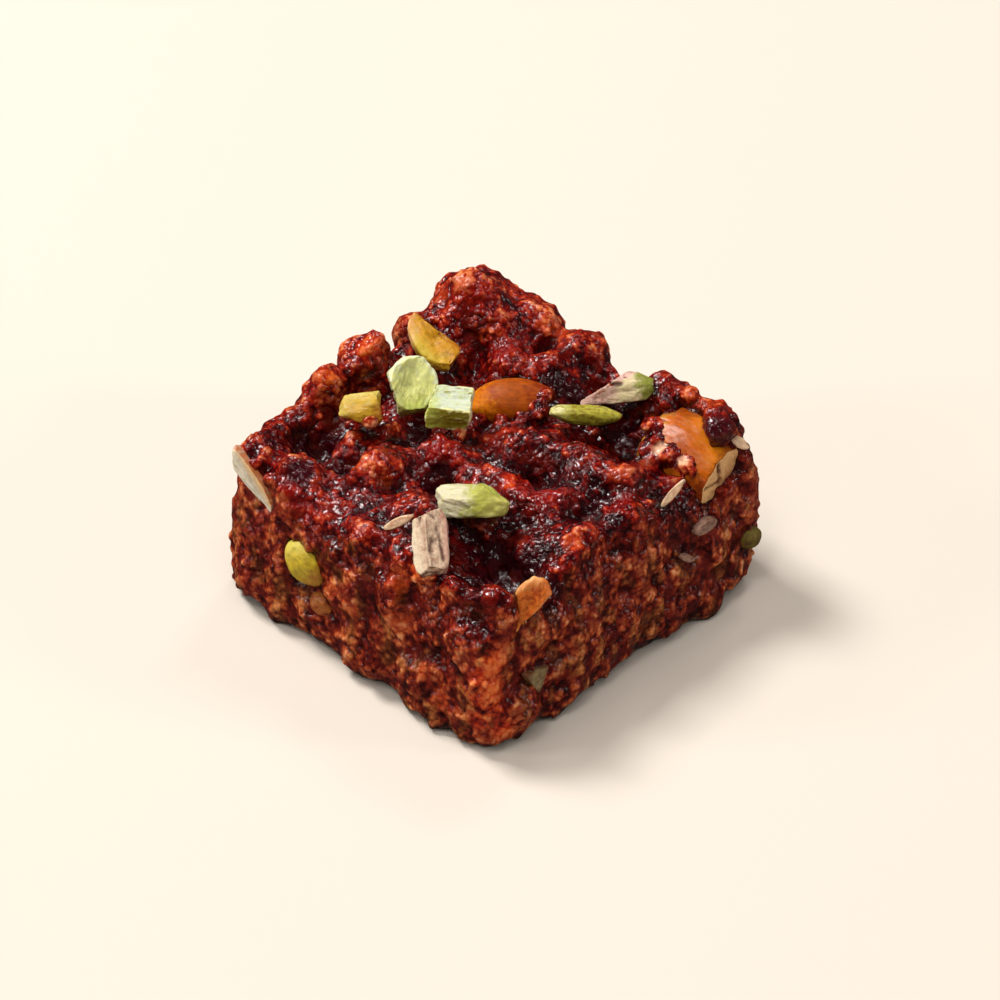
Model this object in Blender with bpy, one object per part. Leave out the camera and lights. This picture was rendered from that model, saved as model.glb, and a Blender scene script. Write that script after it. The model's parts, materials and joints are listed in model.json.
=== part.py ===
"""A cut square of habshi halwa: a dark, craggy milk-and-nut fudge with chopped pistachios on its top and
cut nuts in its sides. Metres, +Z up. The square stands on its flat underside, with the origin under the
middle of its box."""

import math
import random

import bmesh
import bpy
from mathutils import Euler, Vector, noise

MM = 0.001

# The knife-cut square, in millimetres. Its sides lean out a little towards the foot.
FOOT_LOW = (-24.0, -26.9)
FOOT_HIGH = (26.3, 24.8)
RIM_LOW = (-23.6, -24.2)
RIM_HIGH = (23.8, 24.0)
RIM_HEIGHT = 20.4
EDGE_ROUND = 3.4
UNDER_TRIM = 0.6

# The coarse crumb of the broken fudge, in millimetres, and the share of faces kept where it is smooth.
CRUMB = 1.12
FACES_KEPT = 0.452
CRAG_ROUGHNESS = 0.42
KNOB_ROUGHNESS = 0.5
SEED = 11

# Each crag and knob takes its unevenness from a key, which shifts the noise that pushes its surface. The
# crags of the top count their keys from nought, and those of the sides and the knobs from these.
FIRST_SIDE_KEY = 28
FIRST_KNOB_KEY = 100
CRAG_SHIFT = (3.7, 1.9, 5.3)
CRAG_WAVES = 1.7
NUT_SHIFT = (2.3, 1.0, 4.1)
NUT_WAVES = 1.5

# Knobs: how many fit along a side, the share of a cell that one may lie in, the least and greatest reach
# and rise in millimetres, and the height for the reach.
KNOB_CELLS = 9
TOP_KNOB_SPREAD = (0.2, 0.8)
TOP_KNOB_REACH = (1.3, 2.5)
TOP_KNOB_RISE = (-1.6, 1.4)
TOP_KNOB_TALL = 0.9
SIDE_KNOB_SPREAD = (0.15, 0.85)
SIDE_KNOB_REACH = (1.5, 2.9)
SIDE_KNOB_LEVELS = (3.4, 9.0, 14.6)
SIDE_KNOB_STRAY = 2.0
SIDE_KNOB_TALL = 1.15
SIDE_KNOB_MARGIN = 0.06
SIDE_KNOB_SET_IN = 1.2

# Crumbling: the size of each noise and how far it pushes the surface, in millimetres, and the shift that
# keeps the fine noise from lying on the coarse one.
COARSE_CRUMBLE = (3.2, 0.6)
FINE_CRUMBLE = (1.6, 0.5)
FINE_SHIFT = (9.0, 4.0, 2.0)

# Hollows begin at this height and have their full depth this much higher, in millimetres.
HOLLOWS_FROM = 12.0
HOLLOWS_FULL = 6.0

# A kernel's unevenness, the narrowing of its pointed end, and the size below which its edges merge.
NUT_WOBBLE = 0.10
NUT_TAPER = 0.24
NUT_MERGE = 0.02

# Room between a nut and the pocket that it has pressed into the fudge, in millimetres.
POCKET_ROOM = 0.36

# Crags of the top: x, y and height of the crown, then the reach along x, y and z, in millimetres.
CRAGS = {
    "back_peak": (-20.0, 17.8, 29.6, 5.2, 5.6, 6.8),
    "peak_knuckle": (-15.6, 16.6, 27.2, 3.6, 3.0, 3.8),
    "peak_foot": (-19.6, 12.4, 26.0, 3.0, 2.8, 3.4),
    "back_shoulder": (-16.6, 21.4, 25.4, 5.2, 3.8, 4.4),
    "left_tooth": (-22.0, -0.8, 27.8, 3.4, 3.8, 5.2),
    "left_knob": (-22.2, -7.6, 26.2, 3.2, 3.4, 4.4),
    "left_lip": (-22.0, -15.0, 22.6, 3.2, 6.0, 2.6),
    "left_step": (-22.2, 9.2, 25.6, 3.2, 3.6, 4.4),
    "back_bank": (-8.6, 13.0, 24.8, 6.8, 2.8, 3.4),
    "bank_knob": (-4.6, 15.6, 25.0, 2.6, 2.2, 2.8),
    "right_ridge": (-12.4, 21.8, 26.0, 3.8, 3.8, 4.4),
    "right_ridge_end": (-4.4, 21.8, 25.8, 3.8, 3.8, 4.6),
    "far_hill": (11.0, 21.2, 26.2, 5.4, 3.8, 5.2),
    "far_shoulder": (18.0, 21.9, 26.3, 4.4, 3.2, 5.0),
    "corner_berry": (21.8, 19.0, 27.1, 2.4, 2.4, 2.4),
    "hub": (3.6, 2.2, 24.4, 5.4, 3.6, 3.4),
    "hub_neighbour": (11.6, 4.6, 24.6, 4.6, 3.0, 3.2),
    "right_knuckle": (17.4, 6.6, 23.8, 3.0, 2.4, 2.8),
    "cross_bank": (7.8, -4.6, 23.2, 7.4, 1.9, 2.6),
    "middle_knob": (-3.0, -5.6, 23.8, 3.2, 2.3, 2.8),
    "left_bank": (-7.0, -13.4, 24.2, 2.7, 5.4, 3.6),
    "left_berry": (-13.8, -20.6, 23.0, 3.8, 2.7, 3.2),
    "front_bank": (1.4, -16.4, 23.2, 5.2, 3.0, 3.2),
    "front_knuckle": (19.8, -7.0, 22.6, 3.2, 2.6, 2.8),
    "front_corner": (22.6, -20.8, 20.8, 2.4, 2.8, 3.4),
    "middle_back": (-7.8, 4.4, 23.0, 3.6, 3.2, 2.6),
    "rim_right": (21.6, 1.4, 22.6, 2.4, 3.6, 2.8),
    "mid_right": (14.0, -2.4, 22.6, 3.4, 2.0, 2.4),
    "berry_root": (19.8, 20.8, 26.4, 2.2, 1.9, 2.2),
    "left_corner_lip": (-20.4, -20.4, 22.0, 2.6, 2.6, 2.4),
}

# Hollows of the top: x, y, the depth and the reach, in millimetres.
HOLLOWS = {
    "left_gully": (-18.2, -13.4, 4.4, 3.8),
    "left_pit": (-11.8, -14.4, 4.2, 2.4),
    "chunk_shade": (-9.6, -5.6, 3.4, 2.6),
    "middle_pit": (-0.2, -9.8, 4.0, 2.2),
    "back_gully": (-13.6, 11.2, 3.8, 2.4),
    "notch": (-0.6, 20.6, 4.8, 2.6),
    "ridge_notch": (-8.4, 20.0, 1.2, 1.8),
    "skin_shade": (1.4, 14.6, 3.4, 2.8),
    "far_pit": (12.0, 13.0, 4.2, 2.8),
    "front_basin": (16.0, -14.6, 5.6, 5.2),
    "front_scoop": (19.4, -2.8, 2.8, 2.2),
    "hub_groove": (7.8, 0.0, 3.6, 1.9),
    "bank_groove": (-2.8, -14.6, 3.0, 1.7),
    "left_shade": (-18.6, -4.2, 2.6, 1.9),
}

# Ridges and knuckles of the four cut sides: x, y, z, then the reach along x, y and z, in millimetres.
SIDE_CRAGS = {
    "left_pillar": (6.6, -24.4, 12.6, 2.3, 2.6, 7.6),
    "left_pillar_mate": (1.4, -24.0, 10.6, 2.0, 2.2, 7.0),
    "left_red_knob": (-12.2, -23.8, 17.2, 2.4, 2.2, 4.2),
    "left_foot": (12.6, -25.2, 5.0, 5.4, 2.6, 4.6),
    "left_middle": (2.0, -24.9, 4.4, 4.0, 2.4, 4.2),
    "left_corner_foot": (-15.0, -24.8, 5.4, 5.0, 2.2, 5.0),
    "left_corner_edge": (-21.5, -23.1, 9.6, 2.2, 2.4, 7.4),
    "front_column": (22.4, -24.2, 8.0, 3.0, 2.8, 9.4),
    "front_shelf": (23.8, -18.0, 15.4, 1.8, 2.4, 4.8),
    "right_cheek": (23.8, -9.0, 8.6, 2.2, 4.6, 6.4),
    "right_rib": (23.6, 1.6, 12.4, 2.0, 2.8, 7.4),
    "right_foot": (24.2, 9.4, 5.2, 2.4, 5.4, 5.2),
    "right_corner": (23.3, 22.0, 12.0, 2.9, 2.9, 8.8),
    "back_rib": (-6.0, 23.6, 9.0, 4.0, 2.2, 7.4),
    "back_cheek": (12.0, 24.0, 7.0, 5.0, 2.0, 5.4),
    "far_rib": (-23.6, 4.0, 9.0, 2.0, 3.6, 7.8),
    "far_cheek": (-24.0, -13.0, 7.4, 1.9, 4.6, 5.6),
}

# Nuts: the finish, the length, width and thickness, the place of the middle, the turn about X, Y and Z in
# degrees, and the chops. A chop is a direction in the nut's own frame and its distance from the middle.
NUTS = {
    "pistachio_gold": (
        "pistachio_gold", (10.4, 6.2, 6.0), (-16.9, 7.1, 25.2), (15, 19, -14),
        [((0, 0, 1), 0.9), ((-0.3, 0.9, 0.35), 1.3), ((0, 0.6, 0.8), 1.2), ((0.8, 0.5, -0.3), 3.4),
         ((-1, -0.5, 0.1), 4.5)],
    ),
    "pistachio_round": (
        "pistachio", (8.6, 7.2, 7.6), (-12.5, -1.8, 25.2), (26, -32, 117),
        [((0, 0, 1), 1.5), ((0, 0, -1), 1.6), ((1, 0.5, 0), 3.7), ((-0.5, 0.8, -0.3), 2.5),
         ((-1, -0.6, 0), 3.6), ((0.75, -0.55, 0.35), 3.6)],
    ),
    "pistachio_block": (
        "pistachio", (9.4, 7.4, 6.4), (-5.5, -1.9, 25.5), (4, -3, 46),
        [((0.15, -0.1, 1), 1.6), ((0, 0, -1), 1.8), ((1, -0.1, -0.1), 2.8), ((-1, 0.3, 0.1), 2.4),
         ((-0.1, -1, 0.1), 2.3), ((0.1, 1, 0), 2.2)],
    ),
    "pistachio_yellow": (
        "pistachio_gold", (7.0, 5.8, 5.0), (-14.2, -8.4, 24.2), (11, -3, 47),
        [((1, 0, 0.05), 1.9), ((-0.2, 0, 1), 1.7), ((0, 0.75, 0.65), 2.0), ((-0.35, -0.7, -0.6), 1.8)],
    ),
    "pistachio_skin_top": (
        "pistachio_skin", (10.2, 5.6, 5.6), (7.1, 16.2, 24.5), (22, -14, 45),
        [((1, -0.1, -0.2), 4.5), ((-0.35, 0.8, 0.5), 1.6), ((0, -0.7, 0.7), 1.9), ((-0.1, -0.85, -0.5), 1.3),
         ((0, 0, -1), 1.4)],
    ),
    "pistachio_sliver": (
        "pistachio", (9.8, 3.4, 3.0), (6.8, 10.3, 24.1), (6, 3, 41),
        [((0, 0.5, 1), 0.9), ((0, -1, 0.2), 1.3)],
    ),
    "pistachio_pale": (
        "pistachio", (10.8, 7.0, 6.6), (8.5, -12.6, 23.6), (26, -4, 32),
        [((-1, -0.3, 0.4), 3.6), ((-0.4, -0.8, 0.6), 2.4), ((-0.3, 0.5, 1), 2.2), ((0.1, -0.9, -0.45), 1.6),
         ((0.5, 0.8, 0.3), 3.0), ((-0.1, 0.9, 0.45), 2.4), ((0, 0, -1), 1.8)],
    ),
    "pistachio_husk": (
        "pistachio_skin", (12.4, 5.8, 5.0), (9.5, -20.6, 22.6), (7, 21, -39),
        [((-1, -0.3, 0.3), 3.6), ((0.1, 0.5, 0.9), 1.7), ((0.1, -0.8, 0.8), 1.7), ((-0.1, -1, 0.1), 2.1),
         ((0.1, 1, -0.1), 2.2), ((1, 0, 0.1), 4.4), ((0, 0, -1), 1.6)],
    ),
    "pistachio_left": (
        "pistachio", (7.4, 6.0, 5.0), (-8.4, -24.9, 11.8), (90, 32, 0),
        [((0, 0, -1), 1.9), ((-0.6, -0.2, 0.8), 2.8)],
    ),
    "pistachio_right": (
        "pistachio", (3.8, 3.0, 3.2), (25.8, 21.3, 8.2), (70, 0, 80),
        [((0, 0, -1), 1.2)],
    ),
    "cashew_top": (
        "glazed_nut", (12.8, 7.6, 7.0), (-3.1, 7.8, 21.9), (9, 0, 44),
        [((0, 0, -1), 2.6), ((0.9, -0.4, 0.2), 4.0)],
    ),
    "almond_right": (
        "glazed_nut", (19.0, 12.2, 8.0), (18.0, 17.0, 19.9), (35, 3, 2),
        [((1, 0.03, -0.05), 5.9), ((-1, 0, 0), 4.6)],
    ),
    "almond_right_low": (
        "almond", (4.6, 2.0, 3.4), (25.2, 12.9, 14.7), (86, 2, 88),
        [((0, 0, 1), 0.7), ((1, 0.4, 0), 1.9)],
    ),
    "almond_sliver_low": (
        "almond", (3.2, 1.1, 2.4), (25.6, 9.3, 11.7), (86, 35, 88),
        [((0, 0, 1), 0.5)],
    ),
    "almond_left": (
        "almond", (13.0, 4.6, 8.6), (-18.7, -22.9, 18.1), (90, 44, 0),
        [((0, 0, 1), 1.6), ((0.3, -0.9, 0), 0.8), ((-0.1, 0.5, -0.85), 0.6), ((-0.75, -0.65, 0), 3.6)],
    ),
    "nut_crumb_left": (
        "glazed_nut", (3.8, 3.2, 3.2), (-5.1, -25.5, 7.3), (90, 20, 0),
        [((0, 0, -1), 1.2)],
    ),
    "almond_chip_front": (
        "almond", (6.4, 6.0, 3.0), (25.2, -18.2, 8.7), (90, 0, 90),
        [((0, 0, 1), 0.7), ((0.3, 0.95, 0), 1.2), ((0.8, -0.55, 0), 1.5), ((-0.85, -0.5, 0), 1.1)],
    ),
    "caramel_flake": (
        "glazed_nut", (8.4, 5.2, 2.4), (24.3, -18.0, 19.3), (26, -57, 100),
        [((0, 0, 1), 0.6), ((-0.4, -0.9, 0), 0.7), ((-0.3, 0.95, 0), 1.9), ((0.5, 0.9, 0), 2.7),
         ((1, -0.1, 0), 3.7)],
    ),
    "splinter_left": (
        "almond", (4.4, 1.3, 1.1), (4.1, -20.7, 22.9), (52, -25, 51),
        [((0, 0, 1), 0.3)],
    ),
    "splinter_right": (
        "almond", (4.9, 1.1, 1.0), (23.0, 9.2, 20.8), (44, -44, 72),
        [((0, 0, 1), 0.3)],
    ),
    "almond_fleck": (
        "almond", (2.9, 1.4, 1.2), (24.2, 20.4, 23.3), (43, 19, 13),
        [((0, 0, 1), 0.3)],
    ),
    "almond_back": (
        "almond", (11.0, 6.0, 7.0), (-21.9, -7.4, 11.2), (90, -24, -90),
        [((0, 0, 1), 2.5), ((0, 0, -1), 3.0)],
    ),
    "pistachio_back": (
        "pistachio", (7.6, 4.6, 4.8), (6.0, 24.6, 13.0), (-90, 34, 0),
        [((0, 0, -1), 1.9)],
    ),
}

# The colour and roughness of each finish.
FINISHES = {
    "halwa": ((0.17, 0.035, 0.012), 0.35),
    "pistachio": ((0.62, 0.66, 0.22), 0.5),
    "pistachio_gold": ((0.70, 0.45, 0.10), 0.5),
    "pistachio_skin": ((0.50, 0.36, 0.27), 0.6),
    "almond": ((0.78, 0.66, 0.48), 0.5),
    "glazed_nut": ((0.62, 0.22, 0.02), 0.2),
}


def clear_scene():
    for found in list(bpy.data.objects):
        bpy.data.objects.remove(found, do_unlink=True)


def surface(name):
    """A Principled material in the colour of the real food."""
    colour, roughness = FINISHES[name]
    material = bpy.data.materials.new(name)
    material.use_nodes = True
    shader = material.node_tree.nodes["Principled BSDF"]
    shader.inputs["Base Color"].default_value = (*colour, 1.0)
    shader.inputs["Roughness"].default_value = roughness
    shader.inputs["Metallic"].default_value = 0.0
    material.diffuse_color = (*colour, 1.0)
    return material


def object_from(bm, name, material=None):
    mesh = bpy.data.meshes.new(name)
    bm.to_mesh(mesh)
    bm.free()
    if material:
        mesh.materials.append(material)
    made = bpy.data.objects.new(name, mesh)
    bpy.context.scene.collection.objects.link(made)
    return made


def apply_modifiers(target):
    """Replaces the object's mesh by what its modifiers make of it."""
    graph = bpy.context.evaluated_depsgraph_get()
    made = bpy.data.meshes.new_from_object(target.evaluated_get(graph))
    target.modifiers.clear()
    target.data = made


def add_lump(bm, centre, reach, rough, key):
    """One rounded crag: a sphere stretched to its reach, with its surface pushed about by noise."""
    made = bmesh.ops.create_icosphere(bm, subdivisions=3, radius=1.0)
    shift = Vector(key * step for step in CRAG_SHIFT)
    for vertex in made["verts"]:
        push = 1.0 + rough * noise.noise(vertex.co * CRAG_WAVES + shift)
        place = Vector(vertex.co[i] * reach[i] * push + centre[i] for i in range(3))
        vertex.co = place * MM


def add_leaning_box(bm):
    """The knife-cut square, wider at its foot than at its rim, with its edges rounded."""
    made = bmesh.ops.create_cube(bm, size=2.0)["verts"]
    for vertex in made:
        at_rim = vertex.co.z > 0
        low, high = (RIM_LOW, RIM_HIGH) if at_rim else (FOOT_LOW, FOOT_HIGH)
        x = high[0] if vertex.co.x > 0 else low[0]
        y = high[1] if vertex.co.y > 0 else low[1]
        z = RIM_HEIGHT if at_rim else -UNDER_TRIM
        vertex.co = Vector((x, y, z)) * MM
    edges = {edge for vertex in made for edge in vertex.link_edges}
    bmesh.ops.bevel(
        bm, geom=list(edges), offset=EDGE_ROUND * MM, segments=2, profile=0.5, affect="EDGES"
    )


def side_point(side, along, z):
    """A point just inside one of the four sides, at a share along it and a height, in millimetres."""
    rise = min(max(z / RIM_HEIGHT, 0.0), 1.0)
    low = [FOOT_LOW[i] + (RIM_LOW[i] - FOOT_LOW[i]) * rise + SIDE_KNOB_SET_IN for i in range(2)]
    high = [FOOT_HIGH[i] + (RIM_HIGH[i] - FOOT_HIGH[i]) * rise - SIDE_KNOB_SET_IN for i in range(2)]
    x = low[0] + (high[0] - low[0]) * along
    y = low[1] + (high[1] - low[1]) * along
    return ((x, low[1]), (high[0], y), (x, high[1]), (low[0], y))[side]


def add_knobs(bm, draw):
    """Knobs of broken fudge all over the top and sides, one in each cell of a loose grid."""
    key = FIRST_KNOB_KEY
    width, depth = (RIM_HIGH[i] - RIM_LOW[i] for i in range(2))
    for column in range(KNOB_CELLS):
        for row in range(KNOB_CELLS):
            x = RIM_LOW[0] + (column + draw.uniform(*TOP_KNOB_SPREAD)) * width / KNOB_CELLS
            y = RIM_LOW[1] + (row + draw.uniform(*TOP_KNOB_SPREAD)) * depth / KNOB_CELLS
            z = RIM_HEIGHT + draw.uniform(*TOP_KNOB_RISE)
            reach = draw.uniform(*TOP_KNOB_REACH)
            add_lump(bm, (x, y, z), (reach, reach, reach * TOP_KNOB_TALL), KNOB_ROUGHNESS, key)
            key += 1
    for side in range(4):
        for column in range(KNOB_CELLS):
            for level in SIDE_KNOB_LEVELS:
                share = (column + draw.uniform(*SIDE_KNOB_SPREAD)) / KNOB_CELLS
                along = SIDE_KNOB_MARGIN + (1 - 2 * SIDE_KNOB_MARGIN) * share
                z = level + draw.uniform(-SIDE_KNOB_STRAY, SIDE_KNOB_STRAY)
                x, y = side_point(side, along, z)
                reach = draw.uniform(*SIDE_KNOB_REACH)
                add_lump(bm, (x, y, z), (reach, reach, reach * SIDE_KNOB_TALL), KNOB_ROUGHNESS, key)
                key += 1


def press_hollows(mesh):
    """Sinks the gullies and pits between the crags of the top."""
    for vertex in mesh.vertices:
        height = vertex.co.z / MM
        share = min(max((height - HOLLOWS_FROM) / HOLLOWS_FULL, 0.0), 1.0)
        for x, y, depth, reach in HOLLOWS.values():
            away = math.hypot(vertex.co.x / MM - x, vertex.co.y / MM - y) / reach
            vertex.co.z -= share * depth * math.exp(-away * away) * MM


def crumble(mesh):
    """Breaks the surface up with noise at the scale of the coarse crumb."""
    coarse_size, coarse_push = COARSE_CRUMBLE
    fine_size, fine_push = FINE_CRUMBLE
    pushes = []
    for vertex in mesh.vertices:
        place = vertex.co / MM
        coarse = noise.noise(place / coarse_size)
        fine = noise.noise(place / fine_size + Vector(FINE_SHIFT))
        pushes.append(vertex.normal * (coarse_push * coarse + fine_push * fine) * MM)
    for vertex, push in zip(mesh.vertices, pushes):
        vertex.co += push


def keep_outer_skin(mesh):
    """Keeps the largest connected skin: a hollow that fusing sealed is filled, and a loose scrap is dropped."""
    bm = bmesh.new()
    bm.from_mesh(mesh)
    left = set(bm.verts)
    skins = []
    while left:
        skin = {left.pop()}
        front = set(skin)
        while front:
            front = {edge.other_vert(v) for v in front for edge in v.link_edges} - skin
            skin |= front
        left -= skin
        skins.append(skin)
    skins.sort(key=len)
    lost = [vertex for skin in skins[:-1] for vertex in skin]
    bmesh.ops.delete(bm, geom=lost, context="VERTS")
    bm.to_mesh(mesh)
    bm.free()


def trim_underside(mesh):
    """Cuts the foot off level, so that the square has a flat face to rest on."""
    bm = bmesh.new()
    bm.from_mesh(mesh)
    cut = bmesh.ops.bisect_plane(
        bm,
        geom=bm.verts[:] + bm.edges[:] + bm.faces[:],
        plane_co=(0, 0, 0),
        plane_no=(0, 0, -1),
        clear_outer=True,
    )
    rim = [item for item in cut["geom_cut"] if isinstance(item, bmesh.types.BMEdge)]
    bmesh.ops.contextual_create(bm, geom=rim)
    bm.to_mesh(mesh)
    bm.free()


def make_block(material):
    """The block of halwa, as one solid with its crags fused on."""
    bm = bmesh.new()
    add_leaning_box(bm)
    for key, (x, y, crown, *reach) in enumerate(CRAGS.values()):
        add_lump(bm, (x, y, crown - reach[2]), reach, CRAG_ROUGHNESS, key)
    for key, (x, y, z, *reach) in enumerate(SIDE_CRAGS.values(), start=FIRST_SIDE_KEY):
        add_lump(bm, (x, y, z), reach, CRAG_ROUGHNESS, key)
    add_knobs(bm, random.Random(SEED))
    block = object_from(bm, "halwa_block", material)
    fuse = block.modifiers.new("fuse", "REMESH")
    fuse.mode = "VOXEL"
    fuse.voxel_size = CRUMB * MM
    apply_modifiers(block)
    keep_outer_skin(block.data)
    press_hollows(block.data)
    crumble(block.data)
    thin = block.modifiers.new("thin", "DECIMATE")
    thin.ratio = FACES_KEPT
    apply_modifiers(block)
    trim_underside(block.data)
    keep_outer_skin(block.data)
    return block


def chopped_nut(name, grow=0.0, material=None):
    """A kernel, pointed at one end and chopped by flat cuts, grown all round by a width for its pocket."""
    _, size, place, turn, chops = NUTS[name]
    bm = bmesh.new()
    bmesh.ops.create_icosphere(bm, subdivisions=2, radius=1.0)
    key = list(NUTS).index(name)
    shift = Vector(key * step for step in NUT_SHIFT)
    for vertex in bm.verts:
        push = 1.0 + NUT_WOBBLE * noise.noise(vertex.co * NUT_WAVES + shift)
        narrow = 1.0 - NUT_TAPER * max(vertex.co.x, 0.0) ** 2
        spread = (push, push * narrow, push * narrow)
        vertex.co = Vector(vertex.co[i] * spread[i] * (size[i] / 2 + grow) for i in range(3)) * MM
    for direction, away in chops:
        normal = Vector(direction).normalized()
        cut = bmesh.ops.bisect_plane(
            bm,
            geom=bm.verts[:] + bm.edges[:] + bm.faces[:],
            plane_co=normal * (away + grow) * MM,
            plane_no=normal,
            clear_outer=True,
        )
        rim = [item for item in cut["geom_cut"] if isinstance(item, bmesh.types.BMEdge)]
        if rim:
            bmesh.ops.contextual_create(bm, geom=rim)
    bmesh.ops.remove_doubles(bm, verts=bm.verts, dist=NUT_MERGE * MM)
    nut = object_from(bm, name, material)
    nut.location = Vector(place) * MM
    nut.rotation_euler = Euler([math.radians(angle) for angle in turn])
    return nut


def press_pockets(block):
    """Cuts the block clear of every nut, so that each sits in a pocket of its own shape."""
    pockets = bpy.data.collections.new("pockets")
    bpy.context.scene.collection.children.link(pockets)
    for name in NUTS:
        cutter = chopped_nut(name, grow=POCKET_ROOM)
        bpy.context.scene.collection.objects.unlink(cutter)
        pockets.objects.link(cutter)
    press = block.modifiers.new("pockets", "BOOLEAN")
    press.operation = "DIFFERENCE"
    press.operand_type = "COLLECTION"
    press.collection = pockets
    press.solver = "EXACT"
    bpy.context.view_layer.update()
    apply_modifiers(block)
    for cutter in list(pockets.objects):
        bpy.data.objects.remove(cutter, do_unlink=True)
    bpy.data.collections.remove(pockets)
    keep_outer_skin(block.data)


def centre_under_box(pieces):
    """Hangs every piece on one empty, moved so that the origin lies under the middle of the whole box."""
    bpy.context.view_layer.update()
    corners = [piece.matrix_world @ vertex.co for piece in pieces for vertex in piece.data.vertices]
    low = Vector(min(corner[i] for corner in corners) for i in range(3))
    high = Vector(max(corner[i] for corner in corners) for i in range(3))
    tray = bpy.data.objects.new("habshi_halwa", None)
    bpy.context.scene.collection.objects.link(tray)
    tray.location = Vector((-(low.x + high.x) / 2, -(low.y + high.y) / 2, -low.z))
    for piece in pieces:
        piece.parent = tray


def main():
    clear_scene()
    finishes = {name: surface(name) for name in FINISHES}
    block = make_block(finishes["halwa"])
    press_pockets(block)
    nuts = [chopped_nut(name, material=finishes[NUTS[name][0]]) for name in NUTS]
    centre_under_box([block, *nuts])


main()
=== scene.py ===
# %% [markdown]
# # Habshi halwa
# Habshi halwa is a dark milk-and-nut fudge, cooked for hours until the milk breaks into grains and browns.
# The square was cut with a knife, so its sides are granular and dull, while its top is torn, sticky and
# bright with syrup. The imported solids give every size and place. This lesson gives them crumb, glaze and
# nut flesh.

# %% Load the fixed frame
import json
import math

import bpy
import numpy as np
from mathutils import Euler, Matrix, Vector
from mathutils.bvhtree import BVHTree

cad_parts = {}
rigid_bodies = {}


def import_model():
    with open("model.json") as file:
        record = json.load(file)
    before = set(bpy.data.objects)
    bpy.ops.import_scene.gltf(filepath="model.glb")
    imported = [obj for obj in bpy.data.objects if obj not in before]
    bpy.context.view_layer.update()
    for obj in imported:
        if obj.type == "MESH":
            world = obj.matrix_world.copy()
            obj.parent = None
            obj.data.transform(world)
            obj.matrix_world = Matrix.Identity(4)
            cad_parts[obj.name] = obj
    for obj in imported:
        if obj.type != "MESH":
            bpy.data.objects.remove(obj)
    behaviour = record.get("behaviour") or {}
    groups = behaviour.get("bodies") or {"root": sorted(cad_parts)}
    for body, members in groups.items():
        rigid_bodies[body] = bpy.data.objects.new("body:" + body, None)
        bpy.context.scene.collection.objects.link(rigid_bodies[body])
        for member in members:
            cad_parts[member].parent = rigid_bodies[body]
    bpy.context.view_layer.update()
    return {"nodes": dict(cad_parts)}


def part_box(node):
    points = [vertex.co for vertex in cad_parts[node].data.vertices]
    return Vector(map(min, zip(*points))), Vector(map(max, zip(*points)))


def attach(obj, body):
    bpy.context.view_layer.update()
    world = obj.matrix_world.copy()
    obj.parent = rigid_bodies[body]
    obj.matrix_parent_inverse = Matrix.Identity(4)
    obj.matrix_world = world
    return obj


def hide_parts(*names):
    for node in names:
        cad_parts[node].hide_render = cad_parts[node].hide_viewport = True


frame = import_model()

MM = 0.001

# %% [markdown]
# The camera comes first, because every later choice is judged through it. A long lens from half a metre away
# gives the photo's flat perspective, and the front corner of the square points almost at the lens.

# %% The camera
CAMERA_AZIMUTH = math.radians(44.0)
CAMERA_ELEVATION = math.radians(38.7)
CAMERA_DISTANCE = 0.576
CAMERA_LENS = 158.8
CAMERA_SENSOR = 36.0
CAMERA_NEAR_LIMIT = 0.01
CAMERA_AIM = Vector((-3.94, 5.64, 7.43)) * MM

camera_back = Vector((
    math.sin(CAMERA_AZIMUTH) * math.cos(CAMERA_ELEVATION),
    -math.cos(CAMERA_AZIMUTH) * math.cos(CAMERA_ELEVATION),
    math.sin(CAMERA_ELEVATION),
))
bpy.ops.object.camera_add(location=CAMERA_AIM + camera_back * CAMERA_DISTANCE)
camera = bpy.context.object
camera.name = "camera"
camera.rotation_euler = camera_back.to_track_quat("Z", "Y").to_euler()
camera.data.lens = CAMERA_LENS
camera.data.sensor_width = CAMERA_SENSOR
camera.data.clip_start = CAMERA_NEAR_LIMIT
bpy.context.scene.camera = camera
print("camera in mm:", [round(v / MM) for v in camera.location])


# %% [markdown]
# ## Small tools
# Operators act on whatever is selected, so each step first selects only its own piece. Modifiers are added,
# set and applied in one go, so that every finished piece is a plain mesh.

# %% Selecting, copying and applying a modifier
MERGE_REACH = 0.01 * MM


def select_only(*pieces):
    """Deselects everything, then selects these pieces and makes the first one active."""
    bpy.ops.object.select_all(action="DESELECT")
    for piece in pieces:
        piece.select_set(True)
    bpy.context.view_layer.objects.active = pieces[0]


def apply_modifier(piece, kind, **settings):
    """Adds a modifier with these settings and applies it at once."""
    select_only(piece)
    modifier = piece.modifiers.new(kind.lower(), kind)
    for name, value in settings.items():
        setattr(modifier, name, value)
    bpy.ops.object.modifier_apply(modifier=modifier.name)


def edit_all(piece):
    """Opens the piece in edit mode with all of it selected."""
    select_only(piece)
    bpy.ops.object.mode_set(mode="EDIT")
    bpy.ops.mesh.select_mode(type="VERT")
    bpy.ops.mesh.select_all(action="SELECT")


def copy_piece(source, name):
    """A second object with its own copy of a mesh."""
    piece = bpy.data.objects.new(name, source.data.copy())
    bpy.context.scene.collection.objects.link(piece)
    return piece


def copy_node(node, name):
    """A new piece from a CAD node's shape, with its loose triangles merged into one skin."""
    piece = copy_piece(frame["nodes"][node], name)
    piece.data.materials.clear()
    edit_all(piece)
    bpy.ops.mesh.customdata_custom_splitnormals_clear()
    bpy.ops.mesh.remove_doubles(threshold=MERGE_REACH)
    bpy.ops.object.mode_set(mode="OBJECT")
    return piece


def join(piece, *others):
    """Joins the others to the piece."""
    select_only(piece, *others)
    bpy.ops.object.join()


def cloud_texture(name, size, depth=2):
    """Soft noise for a Displace modifier, with features of about this size in metres."""
    texture = bpy.data.textures.new(name, "CLOUDS")
    texture.noise_scale = size
    texture.noise_depth = depth
    return texture


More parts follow.
